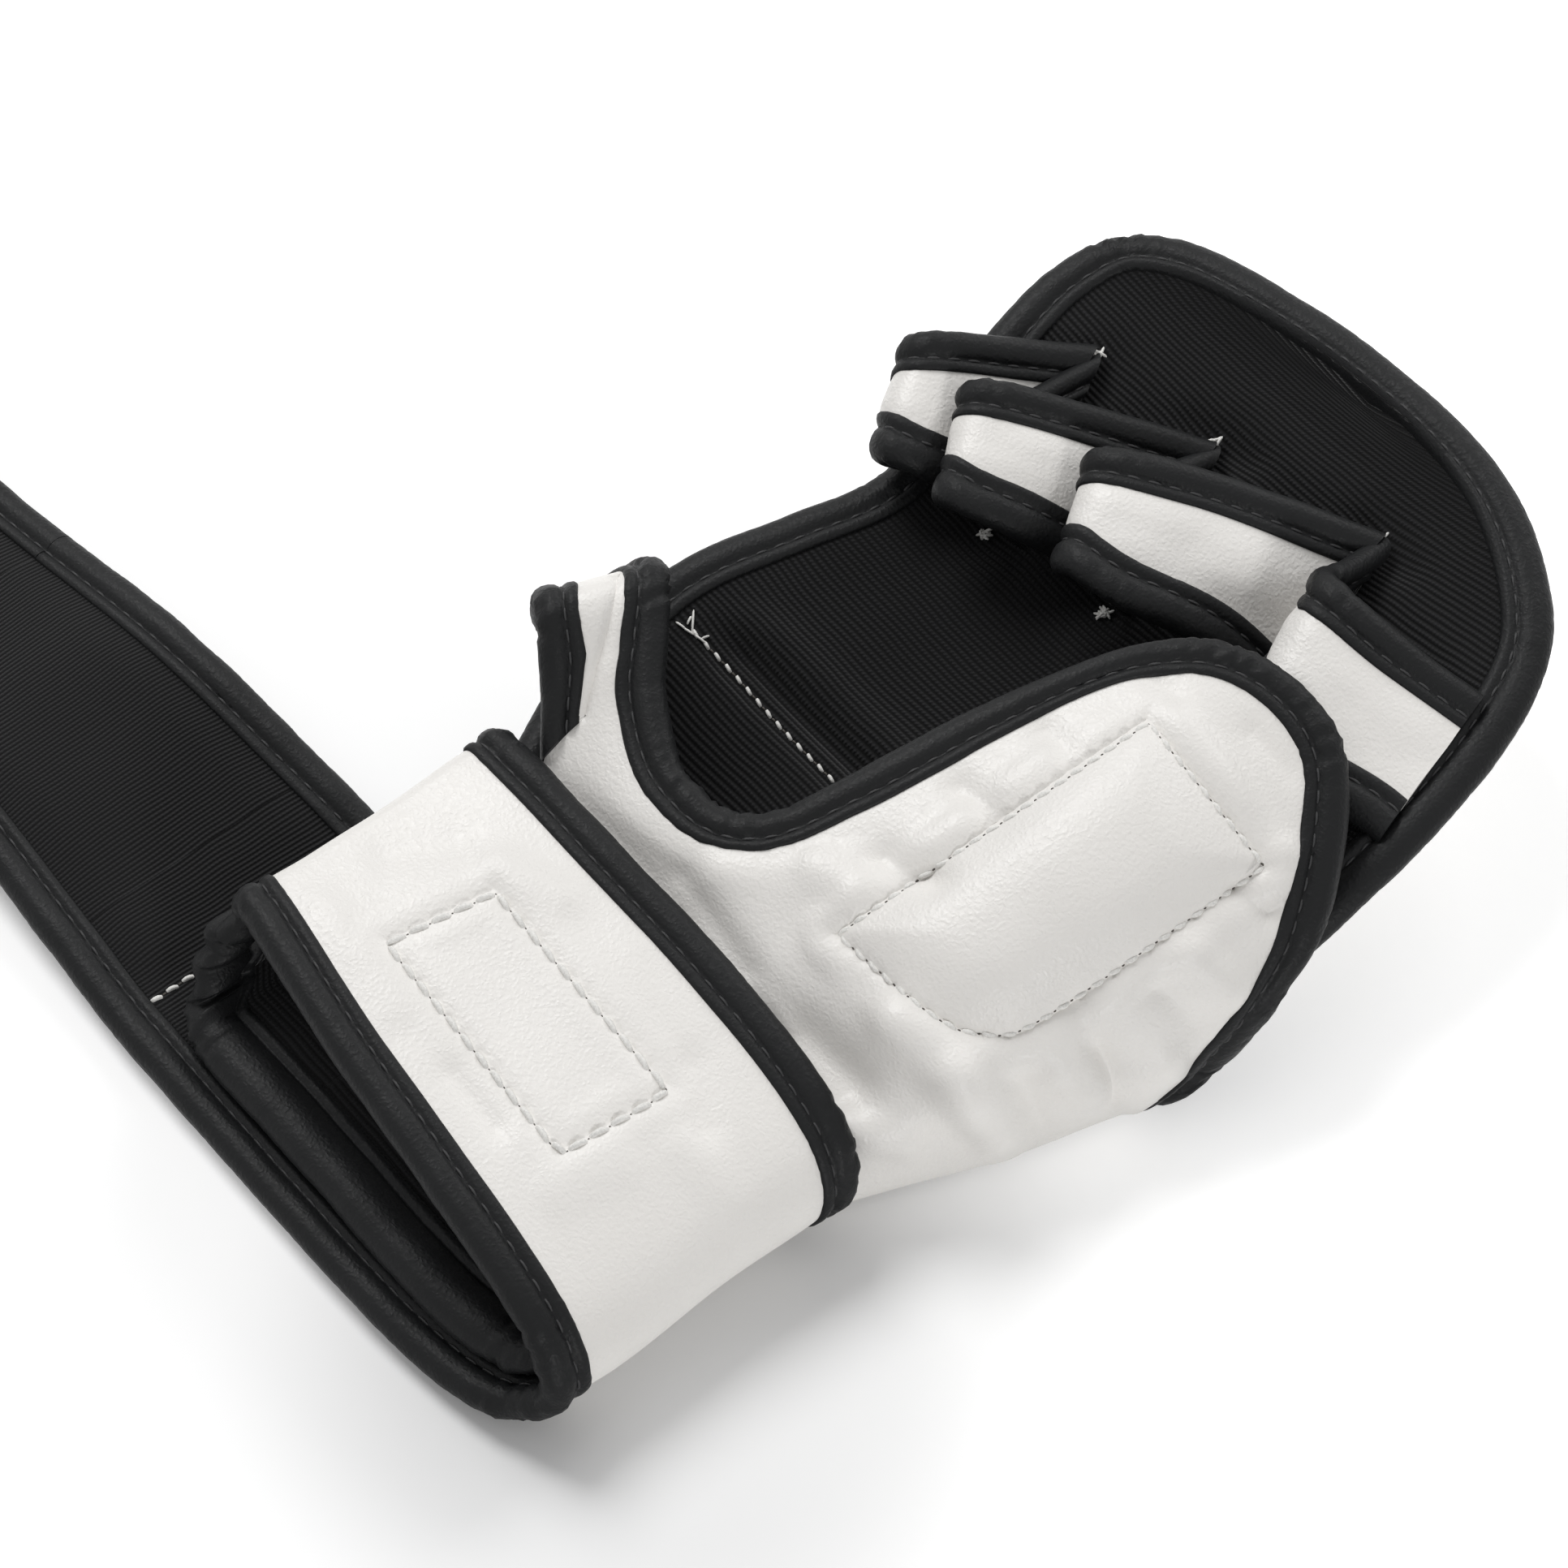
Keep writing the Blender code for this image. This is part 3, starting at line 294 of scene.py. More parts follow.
# Folds in the pad's lining, the palm and the flap: two points of the photograph, half width in pixels
# and rise in millimetres
LINING_FOLDS = (
    ((852, 776), (1032, 968), 11, -1.0), ((880, 765), (1075, 960), 17, -2.0),
    ((925, 755), (1110, 935), 26, 1.0), ((1470, 520), (1540, 560), 26, -1.0),
    ((1690, 640), (1740, 690), 26, -1.0),
)
PALM_FOLDS = (
    ((985, 1275), (1050, 1335), 38, -3.0), ((1046, 1390), (1112, 1400), 20, 2.0),
    ((1112, 1262), (1180, 1325), 32, 2.6), ((1180, 1325), (1224, 1384), 28, 2.8),
    ((1258, 1330), (1280, 1380), 22, -1.3), ((1305, 1312), (1342, 1340), 20, 2.2),
    ((1360, 1300), (1368, 1340), 18, -1.0), ((1390, 1342), (1432, 1304), 20, 2.2),
    ((1326, 1245), (1358, 1298), 28, -1.4), ((1426, 1215), (1470, 1256), 28, -1.5),
    ((1470, 1180), (1512, 1216), 24, 1.2), ((1520, 1096), (1560, 1122), 20, -1.6),
    ((1185, 975), (1220, 1000), 22, -1.3), ((1092, 1060), (1150, 1086), 24, -1.8),
    ((1010, 1075), (1050, 1095), 26, 1.1), ((1290, 905), (1310, 925), 20, -0.9),
    ((1420, 830), (1440, 862), 20, -1.0), ((1545, 905), (1590, 950), 20, -0.8),
    ((1575, 1055), (1615, 1050), 16, 0.8), ((880, 1090), (960, 1180), 40, 1.2),
    ((850, 1080), (925, 1195), 22, -0.8), ((764, 712), (722, 880), 8, -1.2),
)
FLAP_FOLDS = (
    ((395, 1130), (470, 1250), 30, 0.8), ((480, 1060), (560, 1040), 30, -0.8),
    ((620, 1075), (690, 1110), 26, 0.9), ((430, 1230), (470, 1290), 34, -0.5),
    ((560, 1330), (610, 1390), 22, -0.7), ((850, 1320), (870, 1390), 26, -0.8),
    ((720, 1060), (800, 1160), 30, 0.7), ((830, 1180), (900, 1270), 28, -0.5),
    ((690, 1470), (760, 1440), 30, 0.7), ((840, 1420), (900, 1480), 30, 0.6),
)
GROOVE_LEAST = 0.75

# Thread: pitch, length of a stitch, radius, and radius of the dark capsules that paint the shade in the
# needle holes
HEEL_THREAD = (3.1, 2.5, 0.42, 0.17)
LINING_THREAD = (2.5, 1.9, 0.32, 0.17)
PATCH_THREAD = (3.7, 3.4, 0.52, 0.1)
STRAP_THREAD = (3.0, 2.3, 0.42, 0.17)
DARK_PITCH = 3.4
# Stitch: (share of its length, share of its radius, lift) from end to end
STITCH_SHAPE = (
    (0.0, 0.35, -1.0), (0.1, 0.85, -0.3), (0.35, 1.0, 0.25), (0.65, 1.0, 0.25), (0.9, 0.85, -0.3),
    (1.0, 0.35, -1.0),
)
STITCH_SIDES = 6
STITCH_SLANT = 0.22
HOLE_DEPTH = 0.08

# Stage, in metres
FLOOR_HALF = 4.0
FLOOR_LEVEL = -0.0004
FLOOR_COLOUR = (0.95, 0.95, 0.95, 1)
WHITE = (1, 1, 1, 1)
WORLD_STRENGTH = 0.34
# Painted light: the floor's glow in camera rays, brighter to the right so that shadows there fade, and least
# by the flap so that its shadow stays dark: from and to places in metres, then strengths
FLOOR_SHADE_PLACE = (0.047, -0.072, 0.0)
FLOOR_GLOW_RIGHT = (-0.02, 0.075, 0.03, 0.27)
FLOOR_GLOW_ROUND = (0.03, 0.075, -0.06, 0.17)
# Lamps: name, place, target, width, and power in watts
LAMPS = (
    ("key", (-1.05, 0.15, 1.42), (0, 0, 0), 0.9, 16.8),
    ("back", (-0.42, 1.6, 1.2), (0, 0, 0), 1.0, 9.0),
    ("front", (1.3, -0.5, 0.5), (0, 0, 0.02), 0.3, 5.8),
)

CURVE_STEPS = 40
FAR_AWAY = 1e9
TINY = 1e-9
MOST_CUT = 0.45


def photo_pixels(points):
    """Place of points in the photograph."""
    away = np.asarray(points, float) - VIEW_PLACE
    depth = -(away @ VIEW_BACK)
    across = PHOTO_SIZE / 2 + FOCAL_PIXELS * (away @ VIEW_RIGHT) / depth
    down = PHOTO_SIZE / 2 - FOCAL_PIXELS * (away @ VIEW_UP) / depth
    return np.stack([across, down], axis=-1)


def seen_on(tree, pixels):
    """Points and normals where the photograph's sight lines meet a surface."""
    points = []
    normals = []
    for across, down in pixels:
        sight = (-VIEW_BACK + VIEW_RIGHT * (across - PHOTO_SIZE / 2) / FOCAL_PIXELS
                 + VIEW_UP * (PHOTO_SIZE / 2 - down) / FOCAL_PIXELS)
        place, normal, _, _ = tree.ray_cast(Vector(VIEW_PLACE), Vector(sight))
        if place is None:
            continue
        if normal.dot(Vector(VIEW_BACK)) < 0:
            normal = -normal
        points.append(place)
        normals.append(normal)
    return np.array(points), np.array(normals)


def spline(points, at):
    """Smooth curve through points, with at from 0 to the last point's number."""
    p = np.asarray(points, float)
    ends = np.concatenate([2 * p[:1] - p[1:2], p, 2 * p[-1:] - p[-2:-1]])
    at = np.clip(np.asarray(at, float), 0, len(p) - 1)
    first = np.minimum(at.astype(int), len(p) - 2)
    part = (at - first).reshape((-1,) + (1,) * (p.ndim - 1))
    a, b, c, d = ends[first], ends[first + 1], ends[first + 2], ends[first + 3]
    return 0.5 * (2 * b + (c - a) * part + (2 * a - 5 * b + 4 * c - d) * part ** 2
                  + (3 * b - a - 3 * c + d) * part ** 3)


def run_lengths(curve):
    """Distance along a curve at each of its points."""
    steps = np.linalg.norm(np.diff(curve, axis=0), axis=1)
    return np.concatenate([[0], np.cumsum(steps)])


def resample(curve, count, head=0.0, tail=0.0):
    """Even points along a curve, with its ends cut back."""
    reach = run_lengths(curve)
    wanted = np.linspace(head, reach[-1] - tail, count)
    return np.stack([np.interp(wanted, reach, curve[:, k]) for k in range(curve.shape[1])], axis=1)


def smooth(points):
    """Close points on the smooth curve through points."""
    last = len(points) - 1
    return spline(points, np.linspace(0, last, CURVE_STEPS * last))


def smooth_through(points, spacing):
    """Even points about a spacing apart on the smooth curve through points."""
    curve = smooth(points)
    return resample(curve, max(int(run_lengths(curve)[-1] / spacing), 3) + 1)


def unit(vectors):
    """Vectors of length 1."""
    return vectors / np.maximum(np.linalg.norm(vectors, axis=-1, keepdims=True), TINY)


def eased(values, low, high):
    """Smooth step from 0 at low to 1 at high."""
    part = np.clip((values - low) / (high - low), 0, 1)
    return part * part * (3 - 2 * part)


def averaged(values, reach):
    """Moving average along the first axis."""
    kernel = np.ones(2 * reach + 1) / (2 * reach + 1)
    padded = np.concatenate([np.repeat(values[:1], reach, 0), values, np.repeat(values[-1:], reach, 0)])
    return np.stack([np.convolve(padded[:, k], kernel, "valid") for k in range(values.shape[1])], axis=1)


def ridge(reach, height, place, width):
    """Bell-shaped rise about a place."""
    return height * np.exp(-((reach - place) / width) ** 2)


def steps_along(values, wrap=False):
    """Change from row to row, round a closed run or along an open one."""
    if wrap:
        return np.roll(values, -1, 0) - np.roll(values, 1, 0)
    return np.gradient(values, axis=0)


def inward_of(rim, reach=0):
    """Level unit vectors from a rim into its piece, averaged along the rim."""
    tangent = averaged(np.gradient(rim, axis=0), reach)
    return unit(np.stack([tangent[:, 1], -tangent[:, 0], np.zeros(len(rim))], axis=1))


def grid_normals(grid, wrap=False):
    """Unit normals of a grid: along its columns crossed with along its rows."""
    return unit(np.cross(np.gradient(grid, axis=1), steps_along(grid, wrap)))


def grid_lengths(grid):
    """Distance along the rows and along the columns of a grid."""
    across = np.concatenate([np.zeros_like(grid[:, :1, 0]),
                             np.cumsum(np.linalg.norm(np.diff(grid, axis=1), axis=2), axis=1)], axis=1)
    steps = np.linalg.norm(np.diff(grid, axis=0), axis=2).mean(axis=1)
    along = np.concatenate([[0], np.cumsum(steps)])[:, None] * np.ones_like(across)
    return across, along


def grid_faces(rows, columns, wrap=False, tube=False):
    """Quads of a grid of points; wrap closes it from row to row, tube from column to column."""
    number = np.arange(rows * columns).reshape(rows, columns)
    if tube:
        number = np.concatenate([number, number[:, :1]], axis=1)
    after = np.roll(number, -1, 0) if wrap else number[1:]
    here = number if wrap else number[:-1]
    return np.stack([here[:, :-1], after[:, :-1], after[:, 1:], here[:, 1:]], axis=-1).reshape(-1, 4)


def tree_of(grid):
    """Search tree of a grid's surface."""
    rows, columns = grid.shape[:2]
    return BVHTree.FromPolygons(grid.reshape(-1, 3).tolist(), grid_faces(rows, columns).tolist())


def noise_at(points, size, seed):
    """Smooth noise between -1 and 1 at points, with bumps of about a size."""
    flat = np.asarray(points, float).reshape(-1, 3) / size + seed
    return np.array([noise.noise(Vector(p)) for p in flat]).reshape(np.asarray(points).shape[:-1])


def waves(points, size, seed, height):
    """Soft waves at points."""
    return noise_at(points, size, seed) * height


def mesh_object(name, points, faces, finishes, uv=None, face_finish=None):
    """Smooth mesh object from points in millimetres."""
    mesh = bpy.data.meshes.new(name)
    mesh.from_pydata((np.asarray(points) * MM).tolist(), [], [list(f) for f in faces])
    for finish in finishes:
        mesh.materials.append(finish)
    if face_finish is not None:
        mesh.polygons.foreach_set("material_index", np.asarray(face_finish, np.int32))
    if uv is not None:
        corners = np.zeros(len(mesh.loops), np.int32)
        mesh.loops.foreach_get("vertex_index", corners)
        length_map = mesh.uv_layers.new(name="length")
        length_map.data.foreach_set("uv", (np.asarray(uv)[corners] * MM).ravel())
    shell = bmesh.new()
    shell.from_mesh(mesh)
    bmesh.ops.recalc_face_normals(shell, faces=shell.faces)
    for edge in shell.edges:
        if len(edge.link_faces) == 2 and edge.calc_face_angle() > SHARP_ANGLE:
            edge.smooth = False
    shell.to_mesh(mesh)
    shell.free()
    mesh.polygons.foreach_set("use_smooth", [True] * len(mesh.polygons))
    piece = bpy.data.objects.new(name, mesh)
    bpy.context.scene.collection.objects.link(piece)
    return piece


def layer(name, grid, low, high, finish, wrap=False, ribs_along_rows=False, offset=0.0, upright=0):
    """Closed sheet from low to high over a grid, measured along the grid's normals."""
    rows, columns = grid.shape[:2]
    normals = np.zeros_like(grid) + (0, 0, upright) if upright else grid_normals(grid, wrap)
    bottom = grid + normals * low
    top = grid + normals * high
    points = np.concatenate([top.reshape(-1, 3), bottom.reshape(-1, 3)])
    faces = grid_faces(rows, columns, wrap).tolist()
    count = rows * columns
    faces += [[v + count for v in reversed(f)] for f in faces[:]]
    number = np.arange(count).reshape(rows, columns)
    borders = [number[:, 0], number[:, -1]]
    if wrap:
        borders = [np.append(b, b[0]) for b in borders]
    else:
        borders += [number[0], number[-1]]
    for border in borders:
        faces += [[a, b, b + count, a + count] for a, b in zip(border[:-1].tolist(), border[1:].tolist())]
    across, along = grid_lengths(grid)
    pair = (across, along + offset) if ribs_along_rows else (along, across)
    uv = np.stack([pair[0].ravel(), pair[1].ravel()], axis=1)
    return mesh_object(name, points, faces, [finish], np.concatenate([uv, uv]))


def joined(parts):
    """Points, faces and each face's part number of several lots of points and faces."""
    points = []
    faces = []
    kinds = []
    for kind, (part_points, part_faces) in enumerate(parts):
        faces += [[v + len(points) for v in f] for f in part_faces]
        kinds += [kind] * len(part_faces)
        points += list(part_points)
    return np.array(points), faces, kinds


def capsules(starts, ends, normals, radius, sink):
    """Points and faces of short rounded stitches whose ends dip into the surface."""
    points = []
    faces = []
    last_ring = len(STITCH_SHAPE) - 1
    for a, b, n in zip(starts, ends, normals):
        base = len(points)
        run = b - a
        side = unit(np.cross(run, n))
        for share, wide, lift in STITCH_SHAPE:
            centre = a + run * share + n * (sink * lift if lift < 0 else radius * lift)
            for k in range(STITCH_SIDES):
                turn = 2 * math.pi * k / STITCH_SIDES
                points.append(centre + (side * math.cos(turn) + n * math.sin(turn)) * radius * wide)
        for ring in range(last_ring):
            here = base + ring * STITCH_SIDES
            after = here + STITCH_SIDES
            for k in range(STITCH_SIDES):
                beside = (k + 1) % STITCH_SIDES
                faces.append([here + k, here + beside, after + beside, after + k])
        for ring in (0, last_ring):
            faces.append([base + ring * STITCH_SIDES + k for k in range(STITCH_SIDES)])
    return points, faces


def stitch_places(path, normals, pitch, stitch):
    """Start, end and normal of each stitch along a path."""
    reach = run_lengths(path)
    count = max(int(reach[-1] / pitch), 1)
    starts_at = np.arange(count) * reach[-1] / count
    places = []
    for at in (starts_at, starts_at + stitch):
        places.append(np.stack([np.interp(at, reach, path[:, k]) for k in range(3)], axis=1))
    lean = np.stack([np.interp(starts_at, reach, normals[:, k]) for k in range(3)], axis=1)
    return places[0], places[1], unit(lean)


def thread_run(name, path, normals, pitch, stitch, radius, hole):
    """Row of slanted stitches along a path on a surface, with a dark capsule between them that paints the
    shade in each needle hole.
    """
    starts, ends, lean = stitch_places(path, normals, pitch, stitch)
    slant = unit(np.cross(ends - starts, lean)) * STITCH_SLANT
    stitches = capsules(starts - slant, ends + slant, lean, radius, sink=0.45)
    hole_starts = ends[:-1] - lean[:-1] * HOLE_DEPTH
    hole_ends = starts[1:] - lean[1:] * HOLE_DEPTH
    hole_shades = capsules(hole_starts, hole_ends, lean[:-1], hole, sink=0.1)
    points, faces, kinds = joined([stitches, hole_shades])
    return mesh_object(name, points, faces, [WHITE_THREAD, NEEDLE_HOLE_SHADE], None, kinds)


def sample_rows(values, at):
    """Values between the rows of an array."""
    low = np.clip(at.astype(int), 0, len(values) - 2)
    part = (at - low).reshape((-1,) + (1,) * (values.ndim - 1))
    return values[low] * (1 - part) + values[low + 1] * part


def edge_rings(grid, width=BINDING_REACH, height=1.0, last=False, wrap=False, profile=BINDING_PROFILE):
    """Rings of a profile along a grid's first or last column, which follow the surface inwards."""
    rows = grid[:, ::-1] if last else grid
    normals = grid_normals(grid, wrap)
    normals = normals[:, ::-1] if last else normals
    reach, _ = grid_lengths(rows)
    rim = rows[:, 0]
    inward = unit(rows[:, EDGE_INWARD_COLUMN] - rim)
    square = np.linalg.norm(np.cross(unit(steps_along(rim, wrap)), inward), axis=1)
    width = np.broadcast_to(width, len(rows))
    stretch = width / BINDING_REACH / np.clip(square, EDGE_LEAST_SQUARE, 1)
    middle = []
    for row_normals, row_reach, row_width in zip(normals, reach, width):
        column = min(np.searchsorted(row_reach, 0.5 * row_width), len(row_reach) - 1)
        middle.append(row_normals[column])
    lean = unit(averaged(np.array(middle), reach=4))
    rings = []
    for inset, rise in profile:
        wanted = np.minimum(inset * stretch, reach[:, -1])
        place = np.array([[np.interp(w, r, row[:, c]) for c in range(3)]
                          for w, r, row in zip(wanted, reach, rows)])
        rings.append(place + lean * rise * height)
    rings = np.stack(rings, axis=1)
    if wrap:
        rings = np.concatenate([rings, rings[:1]])
        lean = np.concatenate([lean, lean[:1]])
        rim = np.concatenate([rim, rim[:1]])
    lengths = run_lengths(rim)
    count = max(int(lengths[-1] / EDGE_SPACING), 4)
    at = np.interp(np.linspace(0, lengths[-1], count), lengths, np.arange(len(rim)))
    rings = sample_rows(rings, at)
    lean = unit(sample_rows(lean, at))
    if wrap:
        rings = rings[:-1]
        lean = lean[:-1]
    return rings, lean


def binding(name, rings, lean, closed=False, seed=0.0, gather=1.0, stitched=True):
    """Folded leather tape round an edge: roll, stitched groove and flange that lies on the panel."""
    count, sides = rings.shape[:2]
    core = rings[:, ROLL_POINTS].mean(axis=1) if stitched else rings.mean(axis=1)
    tangents = unit(steps_along(core, closed))
    turn = np.linalg.norm(np.gradient(averaged(tangents, reach=5), axis=0), axis=1) / EDGE_SPACING
    bent = eased(turn, low=0.022, high=0.06)
    strength = gather * (CREASE_LEAST + CREASE_BENT * bent)
    outward = unit(rings - core[:, None])
    run = run_lengths(core)
    wander = noise_at(core, size=6.0, seed=seed + GATHER_WANDER_SEED)
    ripple = run / GATHER_PITCH + GATHER_WANDER * wander
    for k in range(sides):
        share = 1.0 if k in ROLL_POINTS else FLANGE_SHARE
        slant = core + tangents * (CREASE_SLANT * k)
        pucker = 1 - 2 * np.abs(np.sin(math.pi * (ripple + GATHER_SLANT * k))) ** GATHER_POWER
        crease = np.abs(noise_at(slant, size=2.6, seed=seed + CREASE_DRIFT * k))
        dip = -np.clip(1 - crease / CREASE_WIDTH, 0, 1)
        broad = waves(slant, size=9.0, seed=seed + ROLL_WAVE_DRIFT * k, height=0.22)
        rise = dip * strength + broad + pucker * bent * gather * GATHER_DEPTH
        rings[:, k] += outward[:, k] * (rise * share)[:, None]
    faces = grid_faces(count, sides, closed, tube=True).tolist()
    if not closed:
        faces.append(list(range(sides)))
        faces.append(list(reversed(range((count - 1) * sides, count * sides))))
    parts = [(rings.reshape(-1, 3), faces)]
    if stitched and run[-1] > 2 * DARK_PITCH:
        for groove, side in zip(GROOVES, (1, -1)):
            path = rings[:, groove].mean(axis=1)
            places = stitch_places(path, lean * side, DARK_PITCH, stitch=2.5)
            parts.append(capsules(*places, radius=0.26, sink=0.35))
    points, faces, kinds = joined(parts)
    return mesh_object(name, points, faces, [EDGING, DARK_THREAD], None, np.minimum(kinds, 1))


# Materials


class Shading:
    """Node tree of a material or of the world."""

    def __init__(self, tree):
        self.nodes = tree.nodes
        self.links = tree.links

    def add(self, kind, vector=None, **inputs):
        """Node with values for its inputs and a socket for its vector."""
        node = self.nodes.new(kind)
        for key, value in inputs.items():
            node.inputs[key].default_value = value
        if vector is not None:
            self.links.new(vector, node.inputs["Vector"])
        return node

    def object_place(self):
        return self.nodes.new("ShaderNodeTexCoord").outputs["Object"]

    def noise(self, vector, size, detail):
        """Noise with bumps of about a size in millimetres."""
        return self.add("ShaderNodeTexNoise", vector, Scale=1 / (size * MM), Detail=detail).outputs

    def maths(self, kind, first, second=0.5):
        """Math node whose inputs are numbers or sockets."""
        node = self.nodes.new("ShaderNodeMath")
        node.operation = kind
        for slot, value in enumerate((first, second)):
            if isinstance(value, (int, float)):
                node.inputs[slot].default_value = value
            else:
                self.links.new(value, node.inputs[slot])
        return node.outputs[0]

    def times(self, first, second):
        return self.maths("MULTIPLY", first, second)

    def ramp(self, source, *stops):
        """Colour ramp from (place, colour) stops."""
        node = self.nodes.new("ShaderNodeValToRGB")
        self.links.new(source, node.inputs[0])
        for element, (place, colour) in zip(node.color_ramp.elements, stops):
            element.position = place
            element.color = colour
        return node.outputs[0]

    def bump(self, height, distance, strength, below=None):
        """Bumps from a height, with their distance in millimetres, over the bumps below."""
        node = self.add("ShaderNodeBump", Distance=distance * MM, Strength=strength)
        self.links.new(height, node.inputs["Height"])
        if below is not None:
            self.links.new(below, node.inputs["Normal"])
        return node.outputs[0]


class Finish(Shading):
    """Material with a principled shader."""

    def __init__(self, name):
        self.material = bpy.data.materials.new(name)
        self.material.use_nodes = True
        super().__init__(self.material.node_tree)
        self.shader = self.nodes["Principled BSDF"]

    def wear(self, inputs):
        """Give the shader's inputs their numbers, colours or sockets."""
        for key, value in inputs.items():
            if isinstance(value, bpy.types.NodeSocket):
                self.links.new(value, self.shader.inputs[key])
            else:
                self.shader.inputs[key].default_value = value
        return self.material


def grey(tone):
    return (tone, tone, tone, 1)


def scaled(colour, factor):
    """Colour made darker or lighter."""
    return tuple(c * factor for c in colour[:3]) + (1,)


def leather_material(name, dark, light, roughness, pebble, depth, shine):
    """Pebbled synthetic leather: cells with creases between them, and slow changes of tone."""
    finish = Finish(name)
    place = finish.object_place()
    cells = finish.add("ShaderNodeTexVoronoi", Scale=1 / (pebble * MM), Randomness=1.0)
    cells.feature = "SMOOTH_F1"
    warp = finish.noise(place, size=pebble * 2.2, detail=2.0)
    mixed = finish.nodes.new("ShaderNodeMix")
    mixed.data_type = "VECTOR"
    mixed.inputs["Factor"].default_value = 0.0012
    finish.links.new(place, mixed.inputs[4])
    finish.links.new(warp["Color"], mixed.inputs[5])
    finish.links.new(mixed.outputs[1], cells.inputs["Vector"])
    distance = cells.outputs["Distance"]
    fine = finish.noise(place, size=0.25, detail=3.0)
    slow = finish.noise(place, size=28, detail=3.0)
    grain = finish.bump(fine[0], distance=0.05, strength=0.5)
    return finish.wear({
        "Base Color": finish.ramp(slow[0], (0.3, dark), (0.7, light)),
        "Roughness": finish.ramp(distance, (0.1, grey(roughness - 0.06)), (0.7, grey(roughness + 0.1))),
        "Normal": finish.bump(finish.times(distance, -1.0), depth, strength=0.7, below=grain),
        "Specular IOR Level": shine,
    })


def knit_material(name, ridge_colour, valley_shade_colour, pitch):
    """Rib knit: ribs along the first length, with small loops along each rib; the valleys between the ribs
    are painted darker as shade.
    """
    finish = Finish(name)
    place = finish.nodes.new("ShaderNodeUVMap").outputs[0]
    parts = finish.add("ShaderNodeSeparateXYZ", place)
    sway = finish.noise(place, size=14, detail=1.0)
    across = finish.maths("ADD", parts.outputs["Y"], finish.times(sway[0], 1.2 * MM))
    ribs = finish.maths("SINE", finish.times(across, 2 * math.pi / (pitch * MM)))
    loops = finish.maths("SINE", finish.times(parts.outputs["X"], 2 * math.pi / (0.75 * MM)))
    high = finish.times(finish.maths("ADD", ribs, 1.0), 0.5)
    height = finish.maths("ADD", high, finish.times(finish.times(loops, 0.18), high))
    fuzz = finish.noise(place, size=0.3, detail=2.0)
    # Painted shade: the colour follows the rib height, darker in the valleys, with random fuzz on top
    shade_and_fuzz = finish.maths("ADD", height, finish.times(fuzz[0], 0.3))
    return finish.wear({
        "Base Color": finish.ramp(shade_and_fuzz, (0.15, valley_shade_colour), (1.0, ridge_colour)),
        "Normal": finish.bump(height, distance=0.4 * pitch, strength=0.8),
        "Roughness": 0.85,
        "Specular IOR Level": 0.12,
        "Sheen Weight": 0.12,
        "Sheen Roughness": 0.4,
    })


def thread_material(name, colour, roughness):
    """Twisted sewing thread, painted darker as shade where the bumps of its twist are low."""
    finish = Finish(name)
    twist = finish.noise(finish.object_place(), size=0.35, detail=3.0)
    # Painted shade: the same noise sets the bumps and the colour, darker where the bumps are low
    return finish.wear({
        "Base Color": finish.ramp(twist[0], (0.3, scaled(colour, 0.8)), (0.65, colour)),
        "Normal": finish.bump(twist[0], distance=0.12, strength=0.6),
        "Roughness": roughness,
    })


def tape_material(name, colour):
    """Hook or loop tape: a dense fuzzy pile, with its raised tips painted lighter as highlight and the
    hollows between them darker as shade.
    """
    finish = Finish(name)
    pile = finish.add("ShaderNodeTexVoronoi", finish.object_place(), Scale=1 / (0.8 * MM))
    distance = pile.outputs["Distance"]
    # Painted highlight and shade: the pile's raised cell middles are lighter than its hollows
    return finish.wear({
        "Base Color": finish.ramp(distance, (0.1, scaled(colour, 2.6)), (0.7, colour)),
        "Normal": finish.bump(finish.times(distance, -1.0), distance=0.6, strength=0.8),
        "Roughness": 0.8,
        "Sheen Weight": 0.2,
    })


WHITE_LEATHER = leather_material("white_leather", (0.79, 0.77, 0.74, 1), (0.84, 0.82, 0.79, 1),
                                 roughness=0.40, pebble=0.62, depth=0.15, shine=0.55)
EDGING = leather_material("charcoal_edging", (0.0075, 0.0078, 0.0082, 1), (0.0108, 0.0112, 0.0118, 1),
                          roughness=0.46, pebble=0.62, depth=0.13, shine=0.15)
# Knits: the yarn's colour on the ridges, then the painted shade of the valleys
RIB_KNIT = knit_material("black_rib_knit", (0.017, 0.017, 0.018, 1), (0.004, 0.004, 0.004, 1), pitch=1.15)
FINE_KNIT = knit_material("black_fine_knit", (0.018, 0.018, 0.019, 1), (0.005, 0.005, 0.005, 1), pitch=0.8)
WHITE_THREAD = thread_material("white_thread", (0.86, 0.85, 0.82, 1), roughness=0.6)
DARK_THREAD = thread_material("dark_thread", (0.012, 0.012, 0.013, 1), roughness=0.6)
# Needle holes: dark colour painted as the shade inside the holes
NEEDLE_HOLE_SHADE = thread_material("needle_hole_shade", (0.10, 0.09, 0.08, 1), roughness=0.9)
TAPE_FINISH = tape_material("black_fastening_tape", (0.012, 0.012, 0.013, 1))


def dressed(piece, body=None, nodes=()):
    """Hide the imported parts that a piece stands for, and attach the piece to the body that it rides on."""
    if nodes:
        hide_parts(*nodes)
    if body is not None:
        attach(piece, body)
    return piece


def declare_sheet(grid):
    """Work out the width, length and area of a grid laid flat; nothing is kept or returned."""
    across, _ = grid_lengths(grid)
    width = across[:, -1].max()
    length = np.linalg.norm(np.diff(grid, axis=0), axis=2).sum(axis=0).max()
    cells = np.cross(grid[1:, :-1] - grid[:-1, :-1], grid[:-1, 1:] - grid[:-1, :-1])
    area = np.linalg.norm(cells, axis=2).sum()
    area = min(area, width * length)


